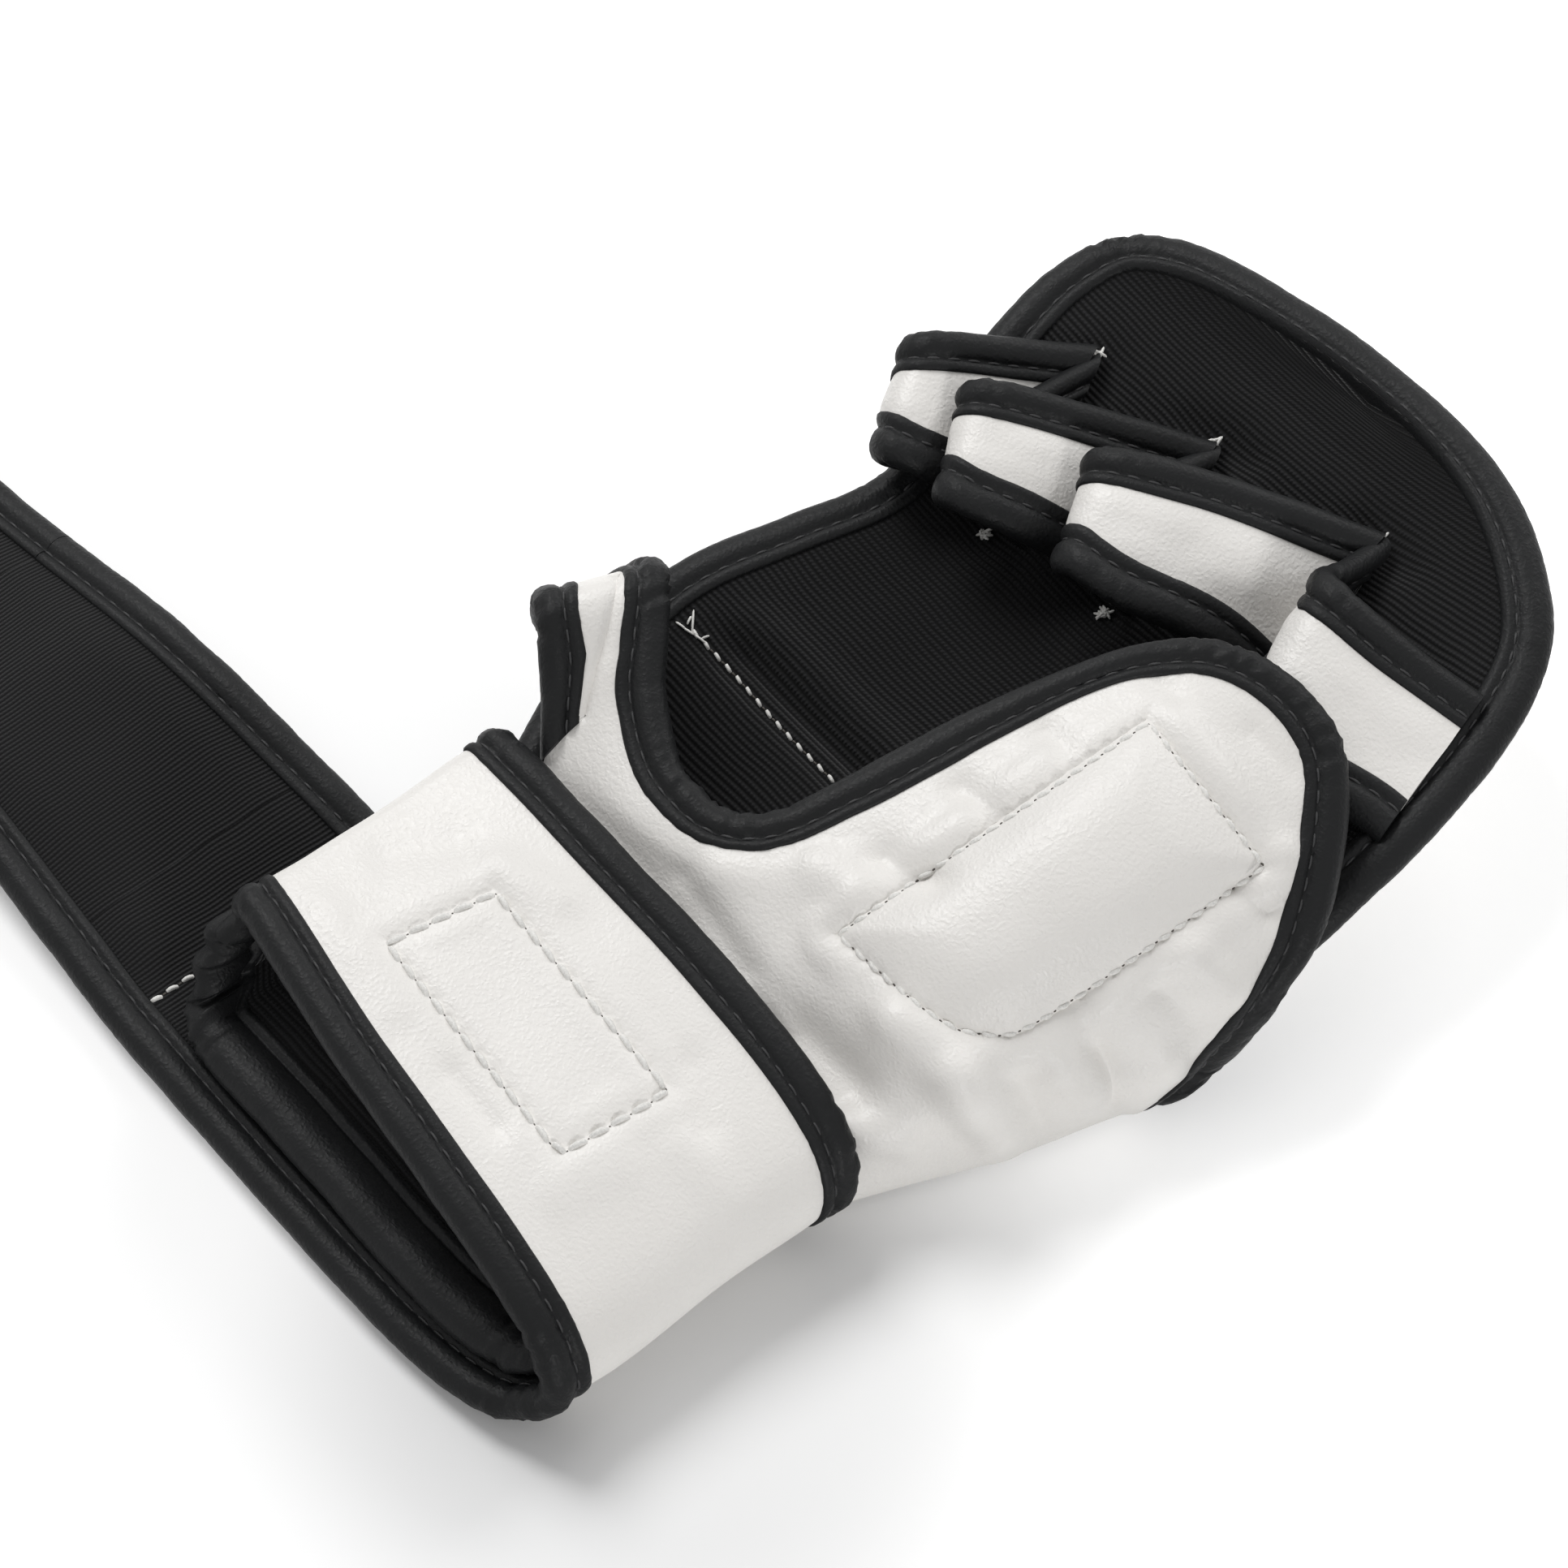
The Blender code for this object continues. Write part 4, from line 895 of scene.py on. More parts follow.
def leather_panel(name, grid, nodes, body=None, thickness=LEATHER):
    """Leather sheet on a grid."""
    piece = layer(name, grid, 0.0, thickness, WHITE_LEATHER)
    return dressed(piece, body, nodes)


def lining_panel(name, grid, finish, nodes, body=None, **options):
    """Knit sheet under the leather of a grid."""
    piece = layer(name, grid, -GAP - KNIT, -GAP, finish, **options)
    return dressed(piece, body, nodes)


def bound_edge(name, rings, lean, nodes, body=None, **options):
    """Bound edge of a panel."""
    return dressed(binding(name, rings, lean, **options), body, nodes)


def sewn_line(name, tree, pixels, body, thread, lift=0.0):
    """Stitches on a surface along a line of the photograph."""
    seam, normals = seen_on(tree, pixels)
    dressed(thread_run(name, seam + normals * lift, normals, *thread), body)


# Padded back


def pad_outline():
    """Close points along the pad's outer edge."""
    last = len(PAD_OUTLINE) - 1
    return spline(PAD_OUTLINE, np.linspace(0, last, PAD_RIM_STEPS * last + 1))


def pad_rim(inset):
    """Left and right sides of the pad's outline moved inwards, both towards larger y."""
    rim = pad_outline()
    moved = rim + inward_of(rim) * inset
    crest = int(np.argmax(moved[:, 1]))
    return moved[:crest + 1], moved[crest:][::-1]


def side_at(side, ys):
    """x and z of one side of the pad's outline at ys."""
    order = np.argsort(side[:, 1])
    return [np.interp(ys, side[order, 1], side[order, k]) for k in (0, 2)]


PAD_INNER = pad_rim(BINDING + GAP)


def pad_heights(x, y):
    """Height of the lining's face and depth down to the shell's outer face."""
    table = np.array(PAD_MIDDLE, float)
    middle = spline(table[:, 1:], np.interp(np.ravel(y), table[:, 0], np.arange(len(table))))
    height = middle[:, 0].reshape(np.shape(y))
    foam = np.maximum(middle[:, 1], 0).reshape(np.shape(y))
    left_x, left_z = side_at(PAD_INNER[0], y)
    right_x, right_z = side_at(PAD_INNER[1], y)
    across = np.clip(2 * (x - left_x) / np.maximum(right_x - left_x, 1) - 1, -1, 1)
    edge = np.where(across < 0, left_z, right_z) + STACK / 2
    across = 1 - (1 - np.abs(across)) * eased(right_x - left_x, 0, PAD_TIP_WIDTH)
    face = height + (edge - height) * across ** PAD_CURL
    depth = STACK + foam * (1 - across ** PAD_FOAM_CURL)
    return face, depth


def pad_grid(rows, columns, inset):
    """Places (x, y) over the pad inside its outline, closer towards the tip."""
    left, right = pad_rim(inset)
    tip = min(left[-1, 1], right[-1, 1]) - PAD_TIP_GAP
    start = PAD_OUTLINE[0][1]
    share = np.sin(np.linspace(0, math.pi / 2, rows)) ** PAD_ROW_POWER
    ys = start + (tip - start) * share
    left_x = side_at(left, ys)[0]
    right_x = side_at(right, ys)[0]
    across = np.linspace(0, 1, columns)[None, :]
    x = left_x[:, None] + (right_x - left_x)[:, None] * across
    y = np.repeat(ys[:, None], columns, axis=1)
    return x, y


def pad_edge_grid(lining):
    """Grid along the pad's rim, from the rim inwards, seated on the lining, up to the palm's leather."""
    rim = pad_outline()
    crest = int(np.argmax(rim[:, 1]))
    stop = crest + int(np.argmax(rim[crest:, 1] < PAD_BINDING_END_Y))
    inward = inward_of(rim, reach=3)
    insets = np.linspace(0, PAD_EDGE_REACH, num=30)
    seats = []
    for inset in PAD_SEAT_INSETS:
        heights = []
        for x, y, z in rim + inward * inset:
            place = lining.ray_cast(Vector((x, y, PROBE_HEIGHT)), Vector((0, 0, -1)))[0]
            heights.append(place[2] - STACK / 2 + PAD_SEAT_LIFT if place is not None else z)
        seats.append(averaged(np.array(heights)[:, None], reach=5)[:, 0])
    levels = np.stack([rim[:, 2]] + seats, axis=1)
    grid = rim[:, None] + inward[:, None] * insets[None, :, None]
    grid[..., 2] = np.array([np.interp(insets, (0.0,) + PAD_SEAT_INSETS, row) for row in levels])
    return grid[:stop + 1]


def build_pad():
    """Lining, shell, bound edge and seam of the padded back and finger guard."""
    x, y = pad_grid(rows=300, columns=170, inset=UNDER_BINDING)
    face, _ = pad_heights(x, y)
    top = np.stack([x, y, face], axis=2)
    rim = np.concatenate(pad_rim(0))[::3, :2]
    near_edge = np.array([np.linalg.norm(row[:, None, :2] - rim[None], axis=2).min(axis=1) for row in top])
    dents, _ = seen_on(tree_of(top), FAR_BARTACK_PIXELS + NEAR_BARTACK_PIXELS)
    sag = np.zeros_like(face)
    for dent in dents:
        sag += ridge(np.hypot(x - dent[0], y - dent[1]), height=1.5, place=0, width=6.0)
    rise = waves(top, size=24.0, seed=3.1, height=0.9) - sag
    rise += fold_rises(top, LINING_FOLDS)
    top[:, :, 2] += rise * eased(near_edge, low=10, high=22)
    lining = layer("pad_knit", top, -KNIT, 0.0, RIB_KNIT, ribs_along_rows=True)
    dressed(lining, None, ("back_lining", "finger_lining"))
    x, y = pad_grid(rows=220, columns=130, inset=UNDER_BINDING - 1)
    face, depth = pad_heights(x, y)
    low = np.stack([x, y, np.maximum(face - depth, 0.0)], axis=2)
    shell = layer("pad_leather", low[::-1], -LEATHER, 0.0, WHITE_LEATHER, upright=-1)
    dressed(shell, None, ("back_shell", "back_foam", "finger_shell", "finger_foam"))
    surface = tree_of(top)
    rings, lean = edge_rings(pad_edge_grid(surface), PAD_BINDING)
    nodes = ("back_edging_thumb", "back_edging_outer", "finger_edging")
    edge = bound_edge("pad_binding", rings, lean, nodes, seed=1.7, gather=1.2)
    pixels = smooth_through(LINING_SEAM_PIXELS, spacing=12)
    sewn_line("lining_seam_thread", surface, pixels, "hand", LINING_THREAD, lift=0.1)
    build_tuft(surface)
    for piece in (lining, shell, edge):
        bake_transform(piece)
    return surface


def build_tuft(lining):
    """Loose thread ends at the head of the lining seam."""
    strands = []
    for pair in TUFT_PIXELS:
        places, normals = seen_on(lining, pair)
        lifted = places + normals * TUFT_LIFT
        strands.append(capsules(lifted[:1], lifted[1:], normals[:1], radius=0.2, sink=0.1))
    points, faces, _ = joined(strands)
    tuft = mesh_object("lining_thread_end", points, faces, [WHITE_THREAD])
    dressed(tuft, "hand")


# Finger loops


def loop_rim(points):
    """Edge of a finger loop; its two seams stand on the lining."""
    filled = []
    for p in points:
        if len(p) == 2:
            seat, _ = pad_heights(np.array([p[0]]), np.array([p[1]]))
            filled.append((p[0], p[1], float(seat[0]) + LOOP_SEAT))
        else:
            filled.append(p)
    return smooth(filled)


def build_loop(name, edges, seed):
    """Finger loop: leather, lining and its two bound edges."""
    far = resample(loop_rim(edges["distal"]), LOOP_ROWS)
    near = resample(loop_rim(edges["proximal"]), LOOP_ROWS)
    hang = np.sin(np.linspace(0, math.pi, LOOP_ROWS))[:, None] ** 2 * LOOP_NEAR_REACH
    near = near + unit(near - far) * hang
    whole = between(near, far, LOOP_COLUMNS)
    normals = grid_normals(whole)
    share = np.linspace(0, 1, LOOP_COLUMNS)
    edge_fade = eased(np.minimum(share, 1 - share), low=0.2, high=0.45)
    rise = (waves(whole, size=10.0, seed=seed, height=0.8) + LOOP_CROWN) * edge_fade[None, :]
    whole = whole + normals * rise[..., None]
    grid = trimmed(whole, LOOP_NEAR_BINDING * LOOP_UNDER_BINDING, LOOP_FAR_BINDING * LOOP_UNDER_BINDING,
                   columns=40)
    node = name + "_loop_"
    leather = leather_panel(name + "_leather", grid, [node + "leather"], "fingers", LOOP_WALL)
    declare_sheet(grid)
    lining_panel(name + "_knit", grid, RIB_KNIT, [node + "lining"], "fingers", ribs_along_rows=True)
    for side, width, last, edging, more in (("far", LOOP_FAR_BINDING, True, "distal_edging", 0.5),
                                            ("near", LOOP_NEAR_BINDING, False, "proximal_edging", 2.5)):
        rings, lean = edge_rings(whole, width, height=0.85, last=last)
        bound_edge(name + "_" + side + "_binding", rings, lean, [node + edging], "fingers",
                   seed=seed + more, gather=0.6)


# Wrist: band, flap, inner cuff and strap


def band_rims(stations, spacing):
    """Rear and front rims of a band along its path."""
    table = np.array(stations, float)
    rear = smooth(np.stack([table[:, 0], table[:, 2], table[:, 1]], axis=1))
    front = smooth(np.stack([table[:, 0], table[:, 3], table[:, 1]], axis=1))
    count = int(run_lengths(rear)[-1] / spacing)
    return resample(rear, count), resample(front, count)


def turned_end(rim, normal):
    """Rim carried on round a turned-under end."""
    ahead = unit(rim[-1] - rim[-5])
    radius = FLAP_END_RADIUS
    curl = [rim[-1] + ahead * radius * math.sin(t) - normal * radius * (1 - math.cos(t))
            for t in FLAP_END_TURNS]
    back = [curl[-1] - ahead * run for run in FLAP_END_BACK]
    return np.concatenate([rim, np.array(curl), np.array(back)])


def between(rear, front, columns, cut=0):
    """Grid between two rims, cut back from each."""
    width = np.linalg.norm(front - rear, axis=1)[:, None, None]
    share = np.linspace(0, 1, columns)[None, :, None]
    start = np.minimum(cut / width, MOST_CUT)
    stop = np.maximum(1 - cut / width, 1 - MOST_CUT)
    share = start + (stop - start) * share
    return rear[:, None] * (1 - share) + front[:, None] * share


def trimmed(grid, head, tail, columns):
    """Grid whose rows are cut back at both ends; head and tail are numbers or one number for each row."""
    head = np.broadcast_to(head, len(grid))
    tail = np.broadcast_to(tail, len(grid))
    rows = []
    for row, first, last in zip(grid, head, tail):
        length = run_lengths(row)[-1]
        rows.append(resample(row, columns, min(first, MOST_CUT * length), min(last, MOST_CUT * length)))
    return np.array(rows)


def edge_distances(grid):
    """Distances of a grid's points from its first and last columns."""
    across, _ = grid_lengths(grid)
    return across, across[:, -1:] - across


def flap_height(x):
    """Height of the flap's seat at x."""
    places = np.array([(px, pz) for px, pz, _, _ in FLAP], float)
    path = spline(places, np.linspace(2, len(FLAP) - 1, num=200))
    return float(np.interp(x, path[::-1, 0], path[::-1, 1]))


def segment_reach(pixels, start, end):
    """Distance of photograph points to a segment, and the share along it."""
    a = np.array(start, float)
    run = np.array(end, float) - a
    share = np.clip(((pixels - a) @ run) / (run @ run), 0, 1)
    return np.linalg.norm(pixels - a - share[..., None] * run, axis=-1), share


def fold_rises(grid, folds):
    """Rises of the folds seen in the photograph at the points of a grid."""
    pixels = photo_pixels(grid)
    rises = np.zeros(grid.shape[:2])
    for start, end, half_width, rise in folds:
        reach, _ = segment_reach(pixels, start, end)
        rises += ridge(reach, rise, 0, half_width)
    return rises


def stitch_groove(grid, outline, pitch_pixels, depth, half_width):
    """Dip along a stitched outline in the photograph, deeper at each needle hole, and the reach from it."""
    pixels = photo_pixels(grid)
    nearest = np.full(grid.shape[:2], FAR_AWAY)
    place = np.zeros(grid.shape[:2])
    before = 0.0
    for a, b in zip(outline, outline[1:]):
        reach, share = segment_reach(pixels, a, b)
        length = math.dist(a, b)
        closer = reach < nearest
        nearest = np.where(closer, reach, nearest)
        place = np.where(closer, before + share * length, place)
        before += length
    wave = GROOVE_LEAST + (1 - GROOVE_LEAST) * np.cos(2 * math.pi * place / pitch_pixels)
    return ridge(nearest, -depth * wave, 0, half_width), nearest


def inside(pixels, outline):
    """Whether photograph points lie inside a closed outline."""
    found = np.zeros(pixels.shape[:-1], bool)
    for (ax, ay), (bx, by) in zip(outline, outline[1:]):
        crosses = (ay > pixels[..., 1]) != (by > pixels[..., 1])
        at = (bx - ax) * (pixels[..., 1] - ay) / ((by - ay) or TINY) + ax
        found ^= crosses & (pixels[..., 0] < at)
    return found


def outline_points(outline, pitch=1.0, steps=None):
    """Points along an outline in the photograph, about a pitch apart or a number of steps to a side."""
    points = []
    for a, b in zip(outline, outline[1:]):
        count = steps or max(int(math.dist(a, b) / pitch), 1)
        points += [tuple(np.array(a) + (np.array(b) - np.array(a)) * k / count) for k in range(count)]
    return points + [outline[-1]]


def heel_outline():
    """Heel pad's stitched outline: three sharp corners and a rounded one."""
    points = np.array(HEEL_PAD_PIXELS, float)
    rounded = spline(points[[2, 3, 4, 5, 0]], np.linspace(0, 4, num=60))
    return [tuple(p) for p in np.concatenate([points[:2], rounded])]


def build_wrist():
    """Wrist band and flap in one run, with bound edges and the stitched rectangle."""
    rear, front = band_rims(BAND + FLAP[1:], spacing=0.6)
    plain_rows = len(rear)
    up = grid_normals(between(rear, front, COARSE_COLUMNS))[-1, COARSE_COLUMNS // 2]
    rear = turned_end(rear, up)
    front = turned_end(front, up)
    whole = between(rear, front, columns=100)
    normals = grid_normals(whole)
    on_flap = eased(whole[..., 2], low=14, high=20)
    patch = CUFF_PATCH_PIXELS + CUFF_PATCH_PIXELS[:1]
    groove, reach = stitch_groove(whole, patch, pitch_pixels=29.0, depth=0.5, half_width=8.0)
    from_rear, from_front = edge_distances(whole)
    fade = eased(np.minimum(from_rear, from_front), low=5, high=14)
    pillow = ridge(reach, height=0.25, place=24, width=15)
    rise = on_flap * (fold_rises(whole, FLAP_FOLDS) + groove + pillow)
    rise += waves(whole, size=20.0, seed=8.2, height=0.7)
    shaped = whole + normals * (rise * fade)[..., None]
    grid = trimmed(shaped, UNDER_BINDING, UNDER_BINDING, columns=90)
    leather = leather_panel("cuff_leather", grid, ("wrist_band_leather", "cuff_flap_leather"))
    declare_sheet(grid)
    last_row = plain_rows - BAND_LINING_SHORT
    flat = between(rear[:last_row], front[:last_row], columns=60, cut=UNDER_BINDING - 1)
    knit = lining_panel("cuff_knit", flat, FINE_KNIT, ("wrist_band_lining", "cuff_flap_lining"),
                        ribs_along_rows=True)
    pieces = [leather, knit]
    for side, last, seed in (("rear", False, 4.1), ("front", True, 5.9)):
        rings, lean = edge_rings(shaped[:plain_rows + BAND_EDGE_LONG], last=last)
        nodes = ("wrist_band_" + side + "_edging", "cuff_flap_" + side + "_edging")
        pieces.append(bound_edge("cuff_" + side + "_binding", rings, lean, nodes, seed=seed))
    for piece in pieces:
        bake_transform(piece)
    outer = grid + grid_normals(grid) * LEATHER
    surface = tree_of(outer[len(outer) // 2:plain_rows])
    pixels = outline_points(patch, steps=30)
    sewn_line("cuff_patch_thread", surface, pixels, "cuff_flap", PATCH_THREAD, lift=0.12)
    build_tapes()


def flat_patch(name, centre, size, height, thickness, node, body):
    """Rectangle of fastening tape that follows a height along x."""
    xs = np.linspace(-size[0] / 2, size[0] / 2, num=60)
    ys = np.linspace(-size[1] / 2, size[1] / 2, num=30)
    gx, gy = np.meshgrid(xs, ys, indexing="ij")
    z = np.array([height(centre[0] + v) for v in xs])[:, None] + np.zeros_like(gy)
    grid = np.stack([centre[0] + gx, centre[1] + gy, z], axis=2)
    piece = layer(name, grid, 0.0, thickness, TAPE_FINISH)
    dressed(piece, body, [node])


def hook_patch_height(x):
    return flap_height(x) - 2 * GAP - KNIT - HOOK_THICKNESS


def build_tapes():
    flat_patch("hook_patch", HOOK_PATCH_PLACE, HOOK_PATCH, hook_patch_height, HOOK_THICKNESS,
               "cuff_flap_hook_patch", "cuff_flap")
    middle = ((BAND[0][0] + BAND[3][0]) / 2, (BAND[1][2] + BAND[1][3]) / 2)
    flat_patch("loop_tape", middle, LOOP_TAPE, lambda x: TAPE, -TAPE, "wrist_loop_tape", "hand")


def build_inner_cuff():
    """Knitted sleeve inside the band and flap, gathered at the thumb side, with a broad rolled edge."""
    rear, front = band_rims(BAND[1:-1] + FLAP, spacing=0.9)
    seat = between(rear, front, COARSE_COLUMNS)
    inner = (seat - grid_normals(seat) * CUFF_DROP)[:, 0]
    inner[:, 1] += np.linspace(CUFF_BAND_INSET, CUFF_FLAP_INSET, len(inner))
    top = inner[-1]
    bottom = inner[0]
    middle_z = (top[2] + bottom[2]) / 2
    thumb_x = min(top[0], FLAP[-1][0] + GAP)
    turn = np.linspace(0, math.pi, num=40)[1:-1]
    share = turn / math.pi
    side_x = thumb_x - CUFF_SIDE_BULGE * np.sin(turn) ** CUFF_SIDE_POWER
    side_y = top[1] * (1 - share) + bottom[1] * share
    side_z = middle_z + (top[2] - bottom[2]) / 2 * np.cos(turn)
    side = np.stack([side_x, side_y, side_z], axis=1)
    floor = np.array([[thumb_x, bottom[1], bottom[2]]])
    ring = np.concatenate([inner, side, floor, inner[:1]])
    rim = resample(ring, int(run_lengths(ring)[-1] / CUFF_RIM_SPACING))[:-1]
    mouth = rim.copy()
    mouth[:, 1] = CUFF_FRONT_Y
    share = np.linspace(0.0, 1.0, num=60)[None, :, None]
    wall = rim[:, None] * (1 - share) + mouth[:, None] * share
    normals = grid_normals(wall, True)
    soft = waves(wall, size=9.0, seed=5.5, height=0.4)
    round_side = np.clip((top[2] - rim[:, 2]) / (top[2] - bottom[2]), 0, 1)
    pleats = 1 - 2 * np.abs(np.sin(math.pi * CUFF_PLEATS * round_side)) ** CUFF_PLEAT_POWER
    on_side = eased(thumb_x - rim[:, 0], low=0.0, high=3.0)
    soft += CUFF_PLEAT_DEPTH * (pleats * on_side)[:, None] * np.exp(-share[..., 0] * CUFF_PLEAT_FADE)
    wall = wall + normals * soft[..., None]
    knit = layer("inner_cuff_knit", wall[:, CUFF_KNIT_START:], -CUFF_WALL / 2, CUFF_WALL / 2, RIB_KNIT,
                 wrap=True)
    dressed(knit, "hand", ["knitted_cuff"])
    facing = np.array([0.0, 0.0, middle_z]) - wall[0, 0]
    flip = float(np.sign(grid_normals(wall, True)[0, 0] @ facing))
    rings, lean = edge_rings(wall, wrap=True, profile=CUFF_PROFILE, height=flip)
    bound_edge("inner_cuff_binding", rings, lean * flip, ["knitted_cuff_edging"], "hand", closed=True,
               seed=7.3, gather=1.6, stitched=False)


def strap_edges(xs):
    """Rear and front rims of the strap, with its taper, its rounded end and the arch it springs into."""
    start = STRAP_START
    rear_y, front_y = BAND[0][2], BAND[0][3]
    taper = (front_y - rear_y - STRAP_TIP_WIDTH) / 2
    tip = start - STRAP_LENGTHS[0] - STRAP_LENGTHS[1]
    narrow = taper * np.clip((start - xs) / (start - tip), 0, 1)
    end = tip - STRAP_LENGTHS[2]
    corner = STRAP_TIP_CORNER
    depth = np.clip((end + corner - xs) / corner, 0, 1)
    round_off = corner * (1 - np.sqrt(np.maximum(1 - depth ** 2, 0)))
    arch = ridge(xs, 1, STRAP_ARCH_X, STRAP_ARCH_REACH) * eased(start - xs, low=0, high=14)
    rear = np.stack([xs, rear_y + narrow + round_off, BAND_Z + STRAP_ARCH_REAR * arch], axis=1)
    front = np.stack([xs, front_y - narrow - round_off, BAND_Z + STRAP_ARCH_FRONT * arch], axis=1)
    return rear, front


def build_strap():
    """Three lengths of strap, cut halfway between its bends, with the hook tape and the seam thread."""
    seam = STRAP_START
    bends = [seam, seam - STRAP_LENGTHS[0], seam - STRAP_LENGTHS[0] - STRAP_LENGTHS[1]]
    end = bends[2] - STRAP_LENGTHS[2]
    cuts = [seam + GAP, (bends[0] + bends[1]) / 2, (bends[1] + bends[2]) / 2, end]
    bodies = ["hand", "strap_root", "strap_middle", "strap_tip"]
    middle_y = (BAND[0][2] + BAND[0][3]) / 2
    for k, name in enumerate(bodies[1:]):
        near, far = cuts[k], cuts[k + 1]
        is_tip = name == bodies[-1]
        xs = np.linspace(far, near, int((near - far) / STRAP_SPACING))
        if is_tip:
            turns = np.linspace(0, math.pi / 2, len(xs) + STRAP_TIP_ROWS)
            xs = far + (near - far) * (1 - np.cos(turns))
        rear, front = strap_edges(xs)
        whole = between(rear, front, columns=80)
        grid = trimmed(whole, UNDER_BINDING, UNDER_BINDING, STRAP_FACE_COLUMNS)
        if is_tip:
            grid = grid[grid[:, STRAP_FACE_COLUMNS // 2, 0] > end + UNDER_BINDING]
        leather = leather_panel(name + "_leather_face", grid, [name + "_leather"])
        from_rear, from_front = edge_distances(grid)
        puff = (eased(np.minimum(from_rear, from_front), 0, STRAP_PUFF_REACH)
                * eased(seam - grid[..., 0], 0, STRAP_PUFF_REACH))
        padded = grid.copy()
        padded[..., 2] += puff * (STRAP_PUFF + waves(grid, size=22.0, seed=4.4, height=0.8))
        knit = lining_panel(name + "_knit_face", padded, FINE_KNIT, [name + "_lining"],
                            ribs_along_rows=True, offset=far - end)
        declare_sheet(padded)
        pieces = [leather, knit]
        if is_tip:
            rings, lean = edge_rings(strap_round(rear, front))
            pieces.append(bound_edge(name + "_round_binding", rings, lean, [name + "_edging"],
                                     seed=9.1, gather=0.6))
        else:
            for side, last in (("rear", False), ("front", True)):
                rings, lean = edge_rings(whole, last=last, height=-1)
                side_name = name + "_" + side
                pieces.append(bound_edge(side_name + "_binding", rings, -lean, [side_name + "_edging"],
                                         seed=9.1, gather=1.3))
        for piece in pieces:
            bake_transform(piece)
    hook_x = end + BINDING + GAP + STRAP_HOOK_MARGIN + STRAP_TIP_CORNER / 2 + STRAP_HOOK[0] / 2
    flat_patch("strap_hooks", (hook_x, middle_y), STRAP_HOOK,
               lambda x: BAND_Z + KNIT + 2 * GAP + STRAP_HOOK_LIFT, -TAPE, "strap_hook_tape", "strap_tip")
    ys = np.linspace(BAND[0][2] + STRAP_SEAM_INSET, BAND[0][3] - STRAP_SEAM_INSET, num=60)
    zs = np.full_like(ys, BAND_Z + GAP + KNIT + STRAP_SEAM_LIFT)
    path = np.stack([np.full_like(ys, seam), ys, zs], axis=1)
    upright = np.repeat(np.array([[0.0, 0.0, 1.0]]), len(ys), axis=0)
    dressed(thread_run("strap_seam_thread", path, upright, *STRAP_THREAD), "hand")


def strap_round(rear, front):
    """Grid round the strap's end, from the rim inwards, from the rear side to the front side."""
    rim = np.concatenate([rear[::-1], front])
    rim = resample(rim, int(run_lengths(rim)[-1] / STRAP_END_SPACING))
    inward = inward_of(rim, reach=2)
    share = np.linspace(0, STRAP_END_REACH, num=16)[None, :, None]
    return rim[:, None] + inward[:, None] * share


# Palm


def palm_surface(row_count, columns):
    """Grid of the palm from the cuff to the free edge, and each row's place in the table."""
    rows = []
    for row in PALM:
        rows.append([(x, y, flap_height(x) - PALM_DROP if z is None else z) for x, y, z in row])
    rows = np.array(rows, float)
    at = np.linspace(0, len(rows) - 1, row_count)
    grid = [resample(smooth(points), columns) for points in spline(rows, at)]
    return np.array(grid), at


def build_palm():
    """Palm with its heel pad and thumb loop, folds, lining, bound edges and stitching."""
    whole, at = palm_surface(row_count=380, columns=170)
    normals = grid_normals(whole)
    outline = heel_outline()
    row_at = at[:, None]
    front = (row_at > PALM_FIRST_ROW) & (row_at < PALM_FRONT_ROWS)
    folded = (row_at > PALM_FIRST_ROW) & (row_at < THUMB_FRONT_ROWS)
    groove, reach = stitch_groove(whole, outline, pitch_pixels=24.0, depth=0.75, half_width=8.0)
    within = inside(photo_pixels(whole), outline) & front & (row_at < HEEL_PAD_LAST_ROW)
    crown = HEEL_CROWN * np.sin(math.pi / 2 * np.clip(reach / HEEL_CROWN_REACH, 0, 1))
    pucker = HEEL_PUCKER + waves(whole, size=9.0, seed=1.9, height=1.0)
    pucker = ridge(reach, height=1.0, place=26, width=18) * pucker
    from_cuff, from_free = edge_distances(whole)
    hole = eased(at, *THUMB_HOLE_ROWS)[:, None]
    fade = eased(from_free, low=5, high=13) * (1 - hole + hole * eased(from_cuff, low=5, high=9))
    rise = np.where(folded, fold_rises(whole, PALM_FOLDS), 0)
    rise = rise + np.where(front, groove + np.where(within, 0, pucker), 0)
    rise = rise + waves(whole, size=22.0, seed=6.1, height=0.9)
    shaped = whole + normals * (rise * fade + np.where(within, crown, 0.0))[..., None]
    grid = trimmed(shaped, UNDER_BINDING * hole[:, 0], UNDER_BINDING, columns=150)
    leather = leather_panel("palm_leather", grid, ["palm_panel", "palm_heel_foam"], "hand")
    lining_panel("palm_knit", grid, RIB_KNIT, ["palm_lining"], "hand")
    first = int(np.argmax(at >= PALM_EDGE_ROW))
    widths = BINDING_REACH + PALM_END_BINDING * (1 - eased(at[first:], low=4.0, high=6.5))
    rings, lean = edge_rings(shaped[first:], widths, last=True)
    bound_edge("palm_binding", rings, lean, ["palm_edging"], "hand", seed=11.3, gather=1.2)
    first = int(np.argmax(at >= THUMB_EDGE_ROW))
    rings, lean = edge_rings(shaped[first:])
    bound_edge("thumb_binding", rings, lean, ["thumb_hole_edging"], "hand", seed=13.9)
    outer = grid + grid_normals(grid) * LEATHER
    pixels = outline_points(outline, pitch=8)
    sewn_line("heel_pad_thread", tree_of(outer[front[:, 0]]), pixels, "hand", HEEL_THREAD)


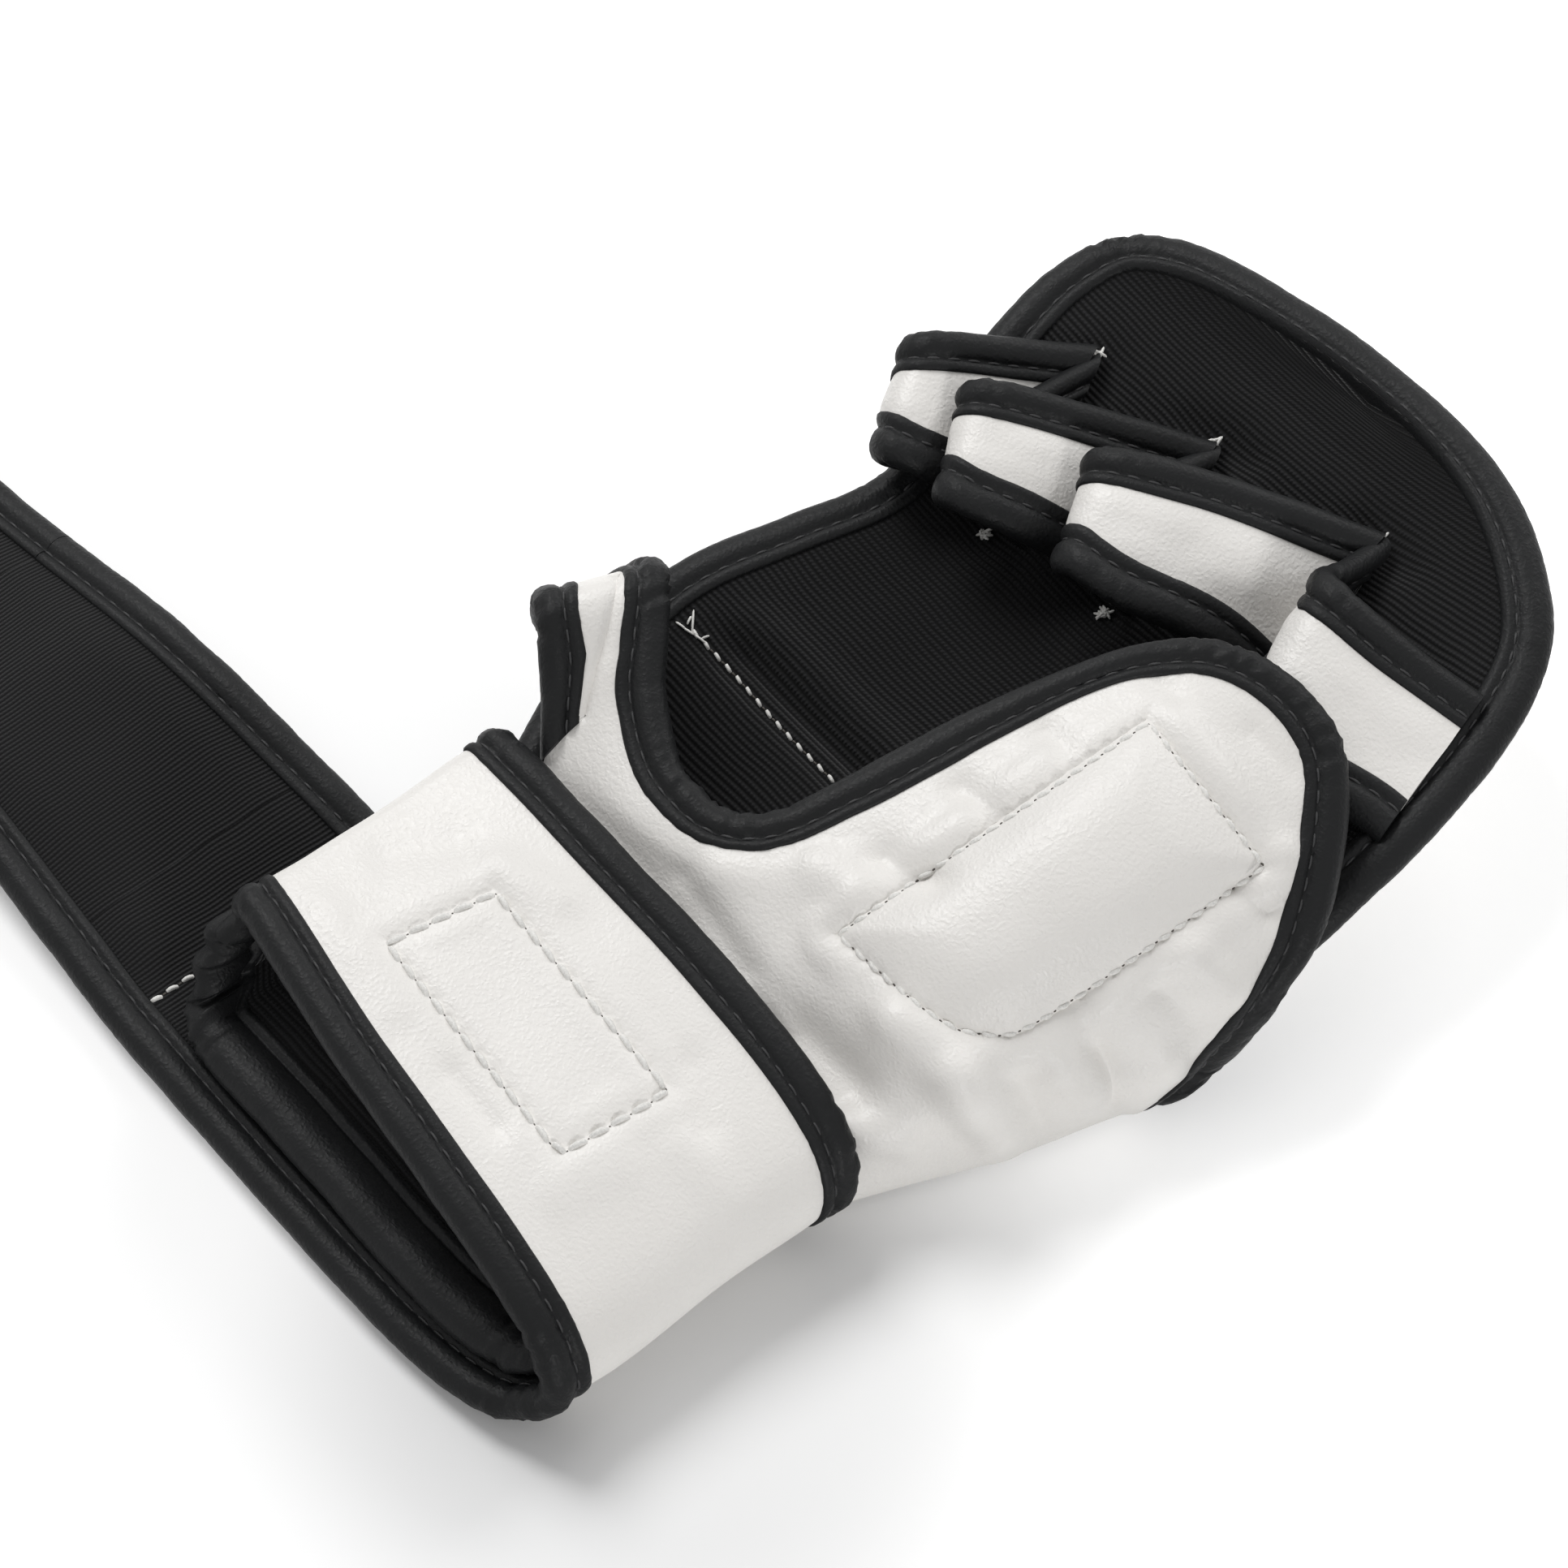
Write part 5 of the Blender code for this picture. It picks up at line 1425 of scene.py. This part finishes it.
def build_bartacks(lining):
    """White thread knots where the finger loops are tacked to the lining."""
    draw = random.Random(4)
    for k, pixel in enumerate(FAR_BARTACK_PIXELS + NEAR_BARTACK_PIXELS):
        places, normals = seen_on(lining, [pixel])
        normal = normals[0]
        lift = BARTACK_FAR_LIFT if k < len(FAR_BARTACK_PIXELS) else BARTACK_NEAR_LIFT
        starts = []
        ends = []
        for _ in range(BARTACK_STRANDS):
            spread = np.array([draw.uniform(-1, 1), draw.uniform(-1, 1), draw.uniform(-0.3, 0.6)])
            lean = np.array([draw.uniform(-1, 1), draw.uniform(-1, 1), draw.uniform(-0.2, 0.6)])
            middle = places[0] + normal * lift + spread * BARTACK_SPREAD
            starts.append(middle - unit(lean) * draw.uniform(*BARTACK_REACH))
            ends.append(middle + unit(lean) * draw.uniform(*BARTACK_REACH))
        points, faces = capsules(starts, ends, [normal] * len(starts), radius=0.26, sink=0.1)
        knot = mesh_object("bartack_" + str(k + 1), np.array(points), faces, [WHITE_THREAD])
        dressed(knot, "fingers")


# Stage


def placed(name, data, place, target):
    """Object that looks from a place to a target."""
    item = bpy.data.objects.new(name, data)
    item.location = place
    item.rotation_euler = (Vector(target) - item.location).to_track_quat("-Z", "Y").to_euler()
    bpy.context.scene.collection.objects.link(item)
    return item


def shown_white(tree):
    """1 for the rays that show the background: camera, glossy and transmission rays."""
    path = tree.nodes.new("ShaderNodeLightPath")
    shown = tree.maths("MAXIMUM", path.outputs["Is Camera Ray"], path.outputs["Is Glossy Ray"])
    return tree.maths("MAXIMUM", shown, path.outputs["Is Transmission Ray"])


def floor_material():
    """White floor with a painted glow, brighter to the right so that shadows there fade and least by the
    flap so that its shadow stays dark.
    """
    finish = Finish("floor_white")
    finish.wear({"Base Color": FLOOR_COLOUR, "Roughness": 0.9, "Specular IOR Level": 0.1})
    glow = finish.add("ShaderNodeEmission", Color=WHITE)
    place = finish.object_place()
    levels = []
    for kind, value, spread in (("DOT_PRODUCT", VIEW_RIGHT, FLOOR_GLOW_RIGHT),
                                ("DISTANCE", FLOOR_SHADE_PLACE, FLOOR_GLOW_ROUND)):
        reach = finish.nodes.new("ShaderNodeVectorMath")
        reach.operation = kind
        finish.links.new(place, reach.inputs[0])
        reach.inputs[1].default_value = value
        slope = finish.nodes.new("ShaderNodeMapRange")
        slope.interpolation_type = "SMOOTHSTEP"
        finish.links.new(reach.outputs["Value"], slope.inputs["Value"])
        for socket, number in zip(("From Min", "From Max", "To Min", "To Max"), spread):
            slope.inputs[socket].default_value = number
        levels.append(slope.outputs[0])
    # Painted light: the glow lightens the floor's shadows to the right, and least by the flap
    strength = finish.times(shown_white(finish), finish.maths("ADD", levels[0], levels[1]))
    finish.links.new(strength, glow.inputs["Strength"])
    both = finish.nodes.new("ShaderNodeAddShader")
    finish.links.new(finish.shader.outputs[0], both.inputs[0])
    finish.links.new(glow.outputs[0], both.inputs[1])
    finish.links.new(both.outputs[0], finish.nodes["Material Output"].inputs["Surface"])
    return finish.material


def build_stage():
    """Floor, world and lamps."""
    floor_mesh = bpy.data.meshes.new("floor")
    signs = ((-1, -1), (1, -1), (1, 1), (-1, 1))
    corners = [(FLOOR_HALF * x, FLOOR_HALF * y, FLOOR_LEVEL) for x, y in signs]
    floor_mesh.from_pydata(corners, [], [(0, 1, 2, 3)])
    floor = bpy.data.objects.new("floor", floor_mesh)
    bpy.context.scene.collection.objects.link(floor)
    floor_mesh.materials.append(floor_material())
    world = bpy.data.worlds.new("studio")
    bpy.context.scene.world = world
    world.use_nodes = True
    tree = Shading(world.node_tree)
    background = tree.nodes["Background"]
    tree.links.new(tree.maths("MAXIMUM", shown_white(tree), WORLD_STRENGTH), background.inputs["Strength"])
    background.inputs["Color"].default_value = WHITE
    for name, place, target, size, power in LAMPS:
        lamp = bpy.data.lights.new(name, "AREA")
        lamp.shape = "DISK"
        lamp.size = size
        lamp.energy = power
        placed(name, lamp, place, target)


def build_camera():
    camera = bpy.data.cameras.new("camera")
    camera.sensor_width = SENSOR
    camera.lens = SENSOR * FOCAL_PIXELS / PHOTO_SIZE
    bpy.context.scene.camera = placed("camera", camera, VIEW_PLACE * MM, VIEW_TARGET * MM)


build_camera()
build_stage()
bpy.context.scene.view_settings.view_transform = "Standard"
pad_surface = build_pad()
for loop_number, (loop_name, loop_edges) in enumerate(LOOPS.items()):
    build_loop(loop_name, loop_edges, LOOP_SEED + LOOP_SEED_STEP * loop_number)
build_bartacks(pad_surface)
build_palm()
build_wrist()
build_inner_cuff()
build_strap()
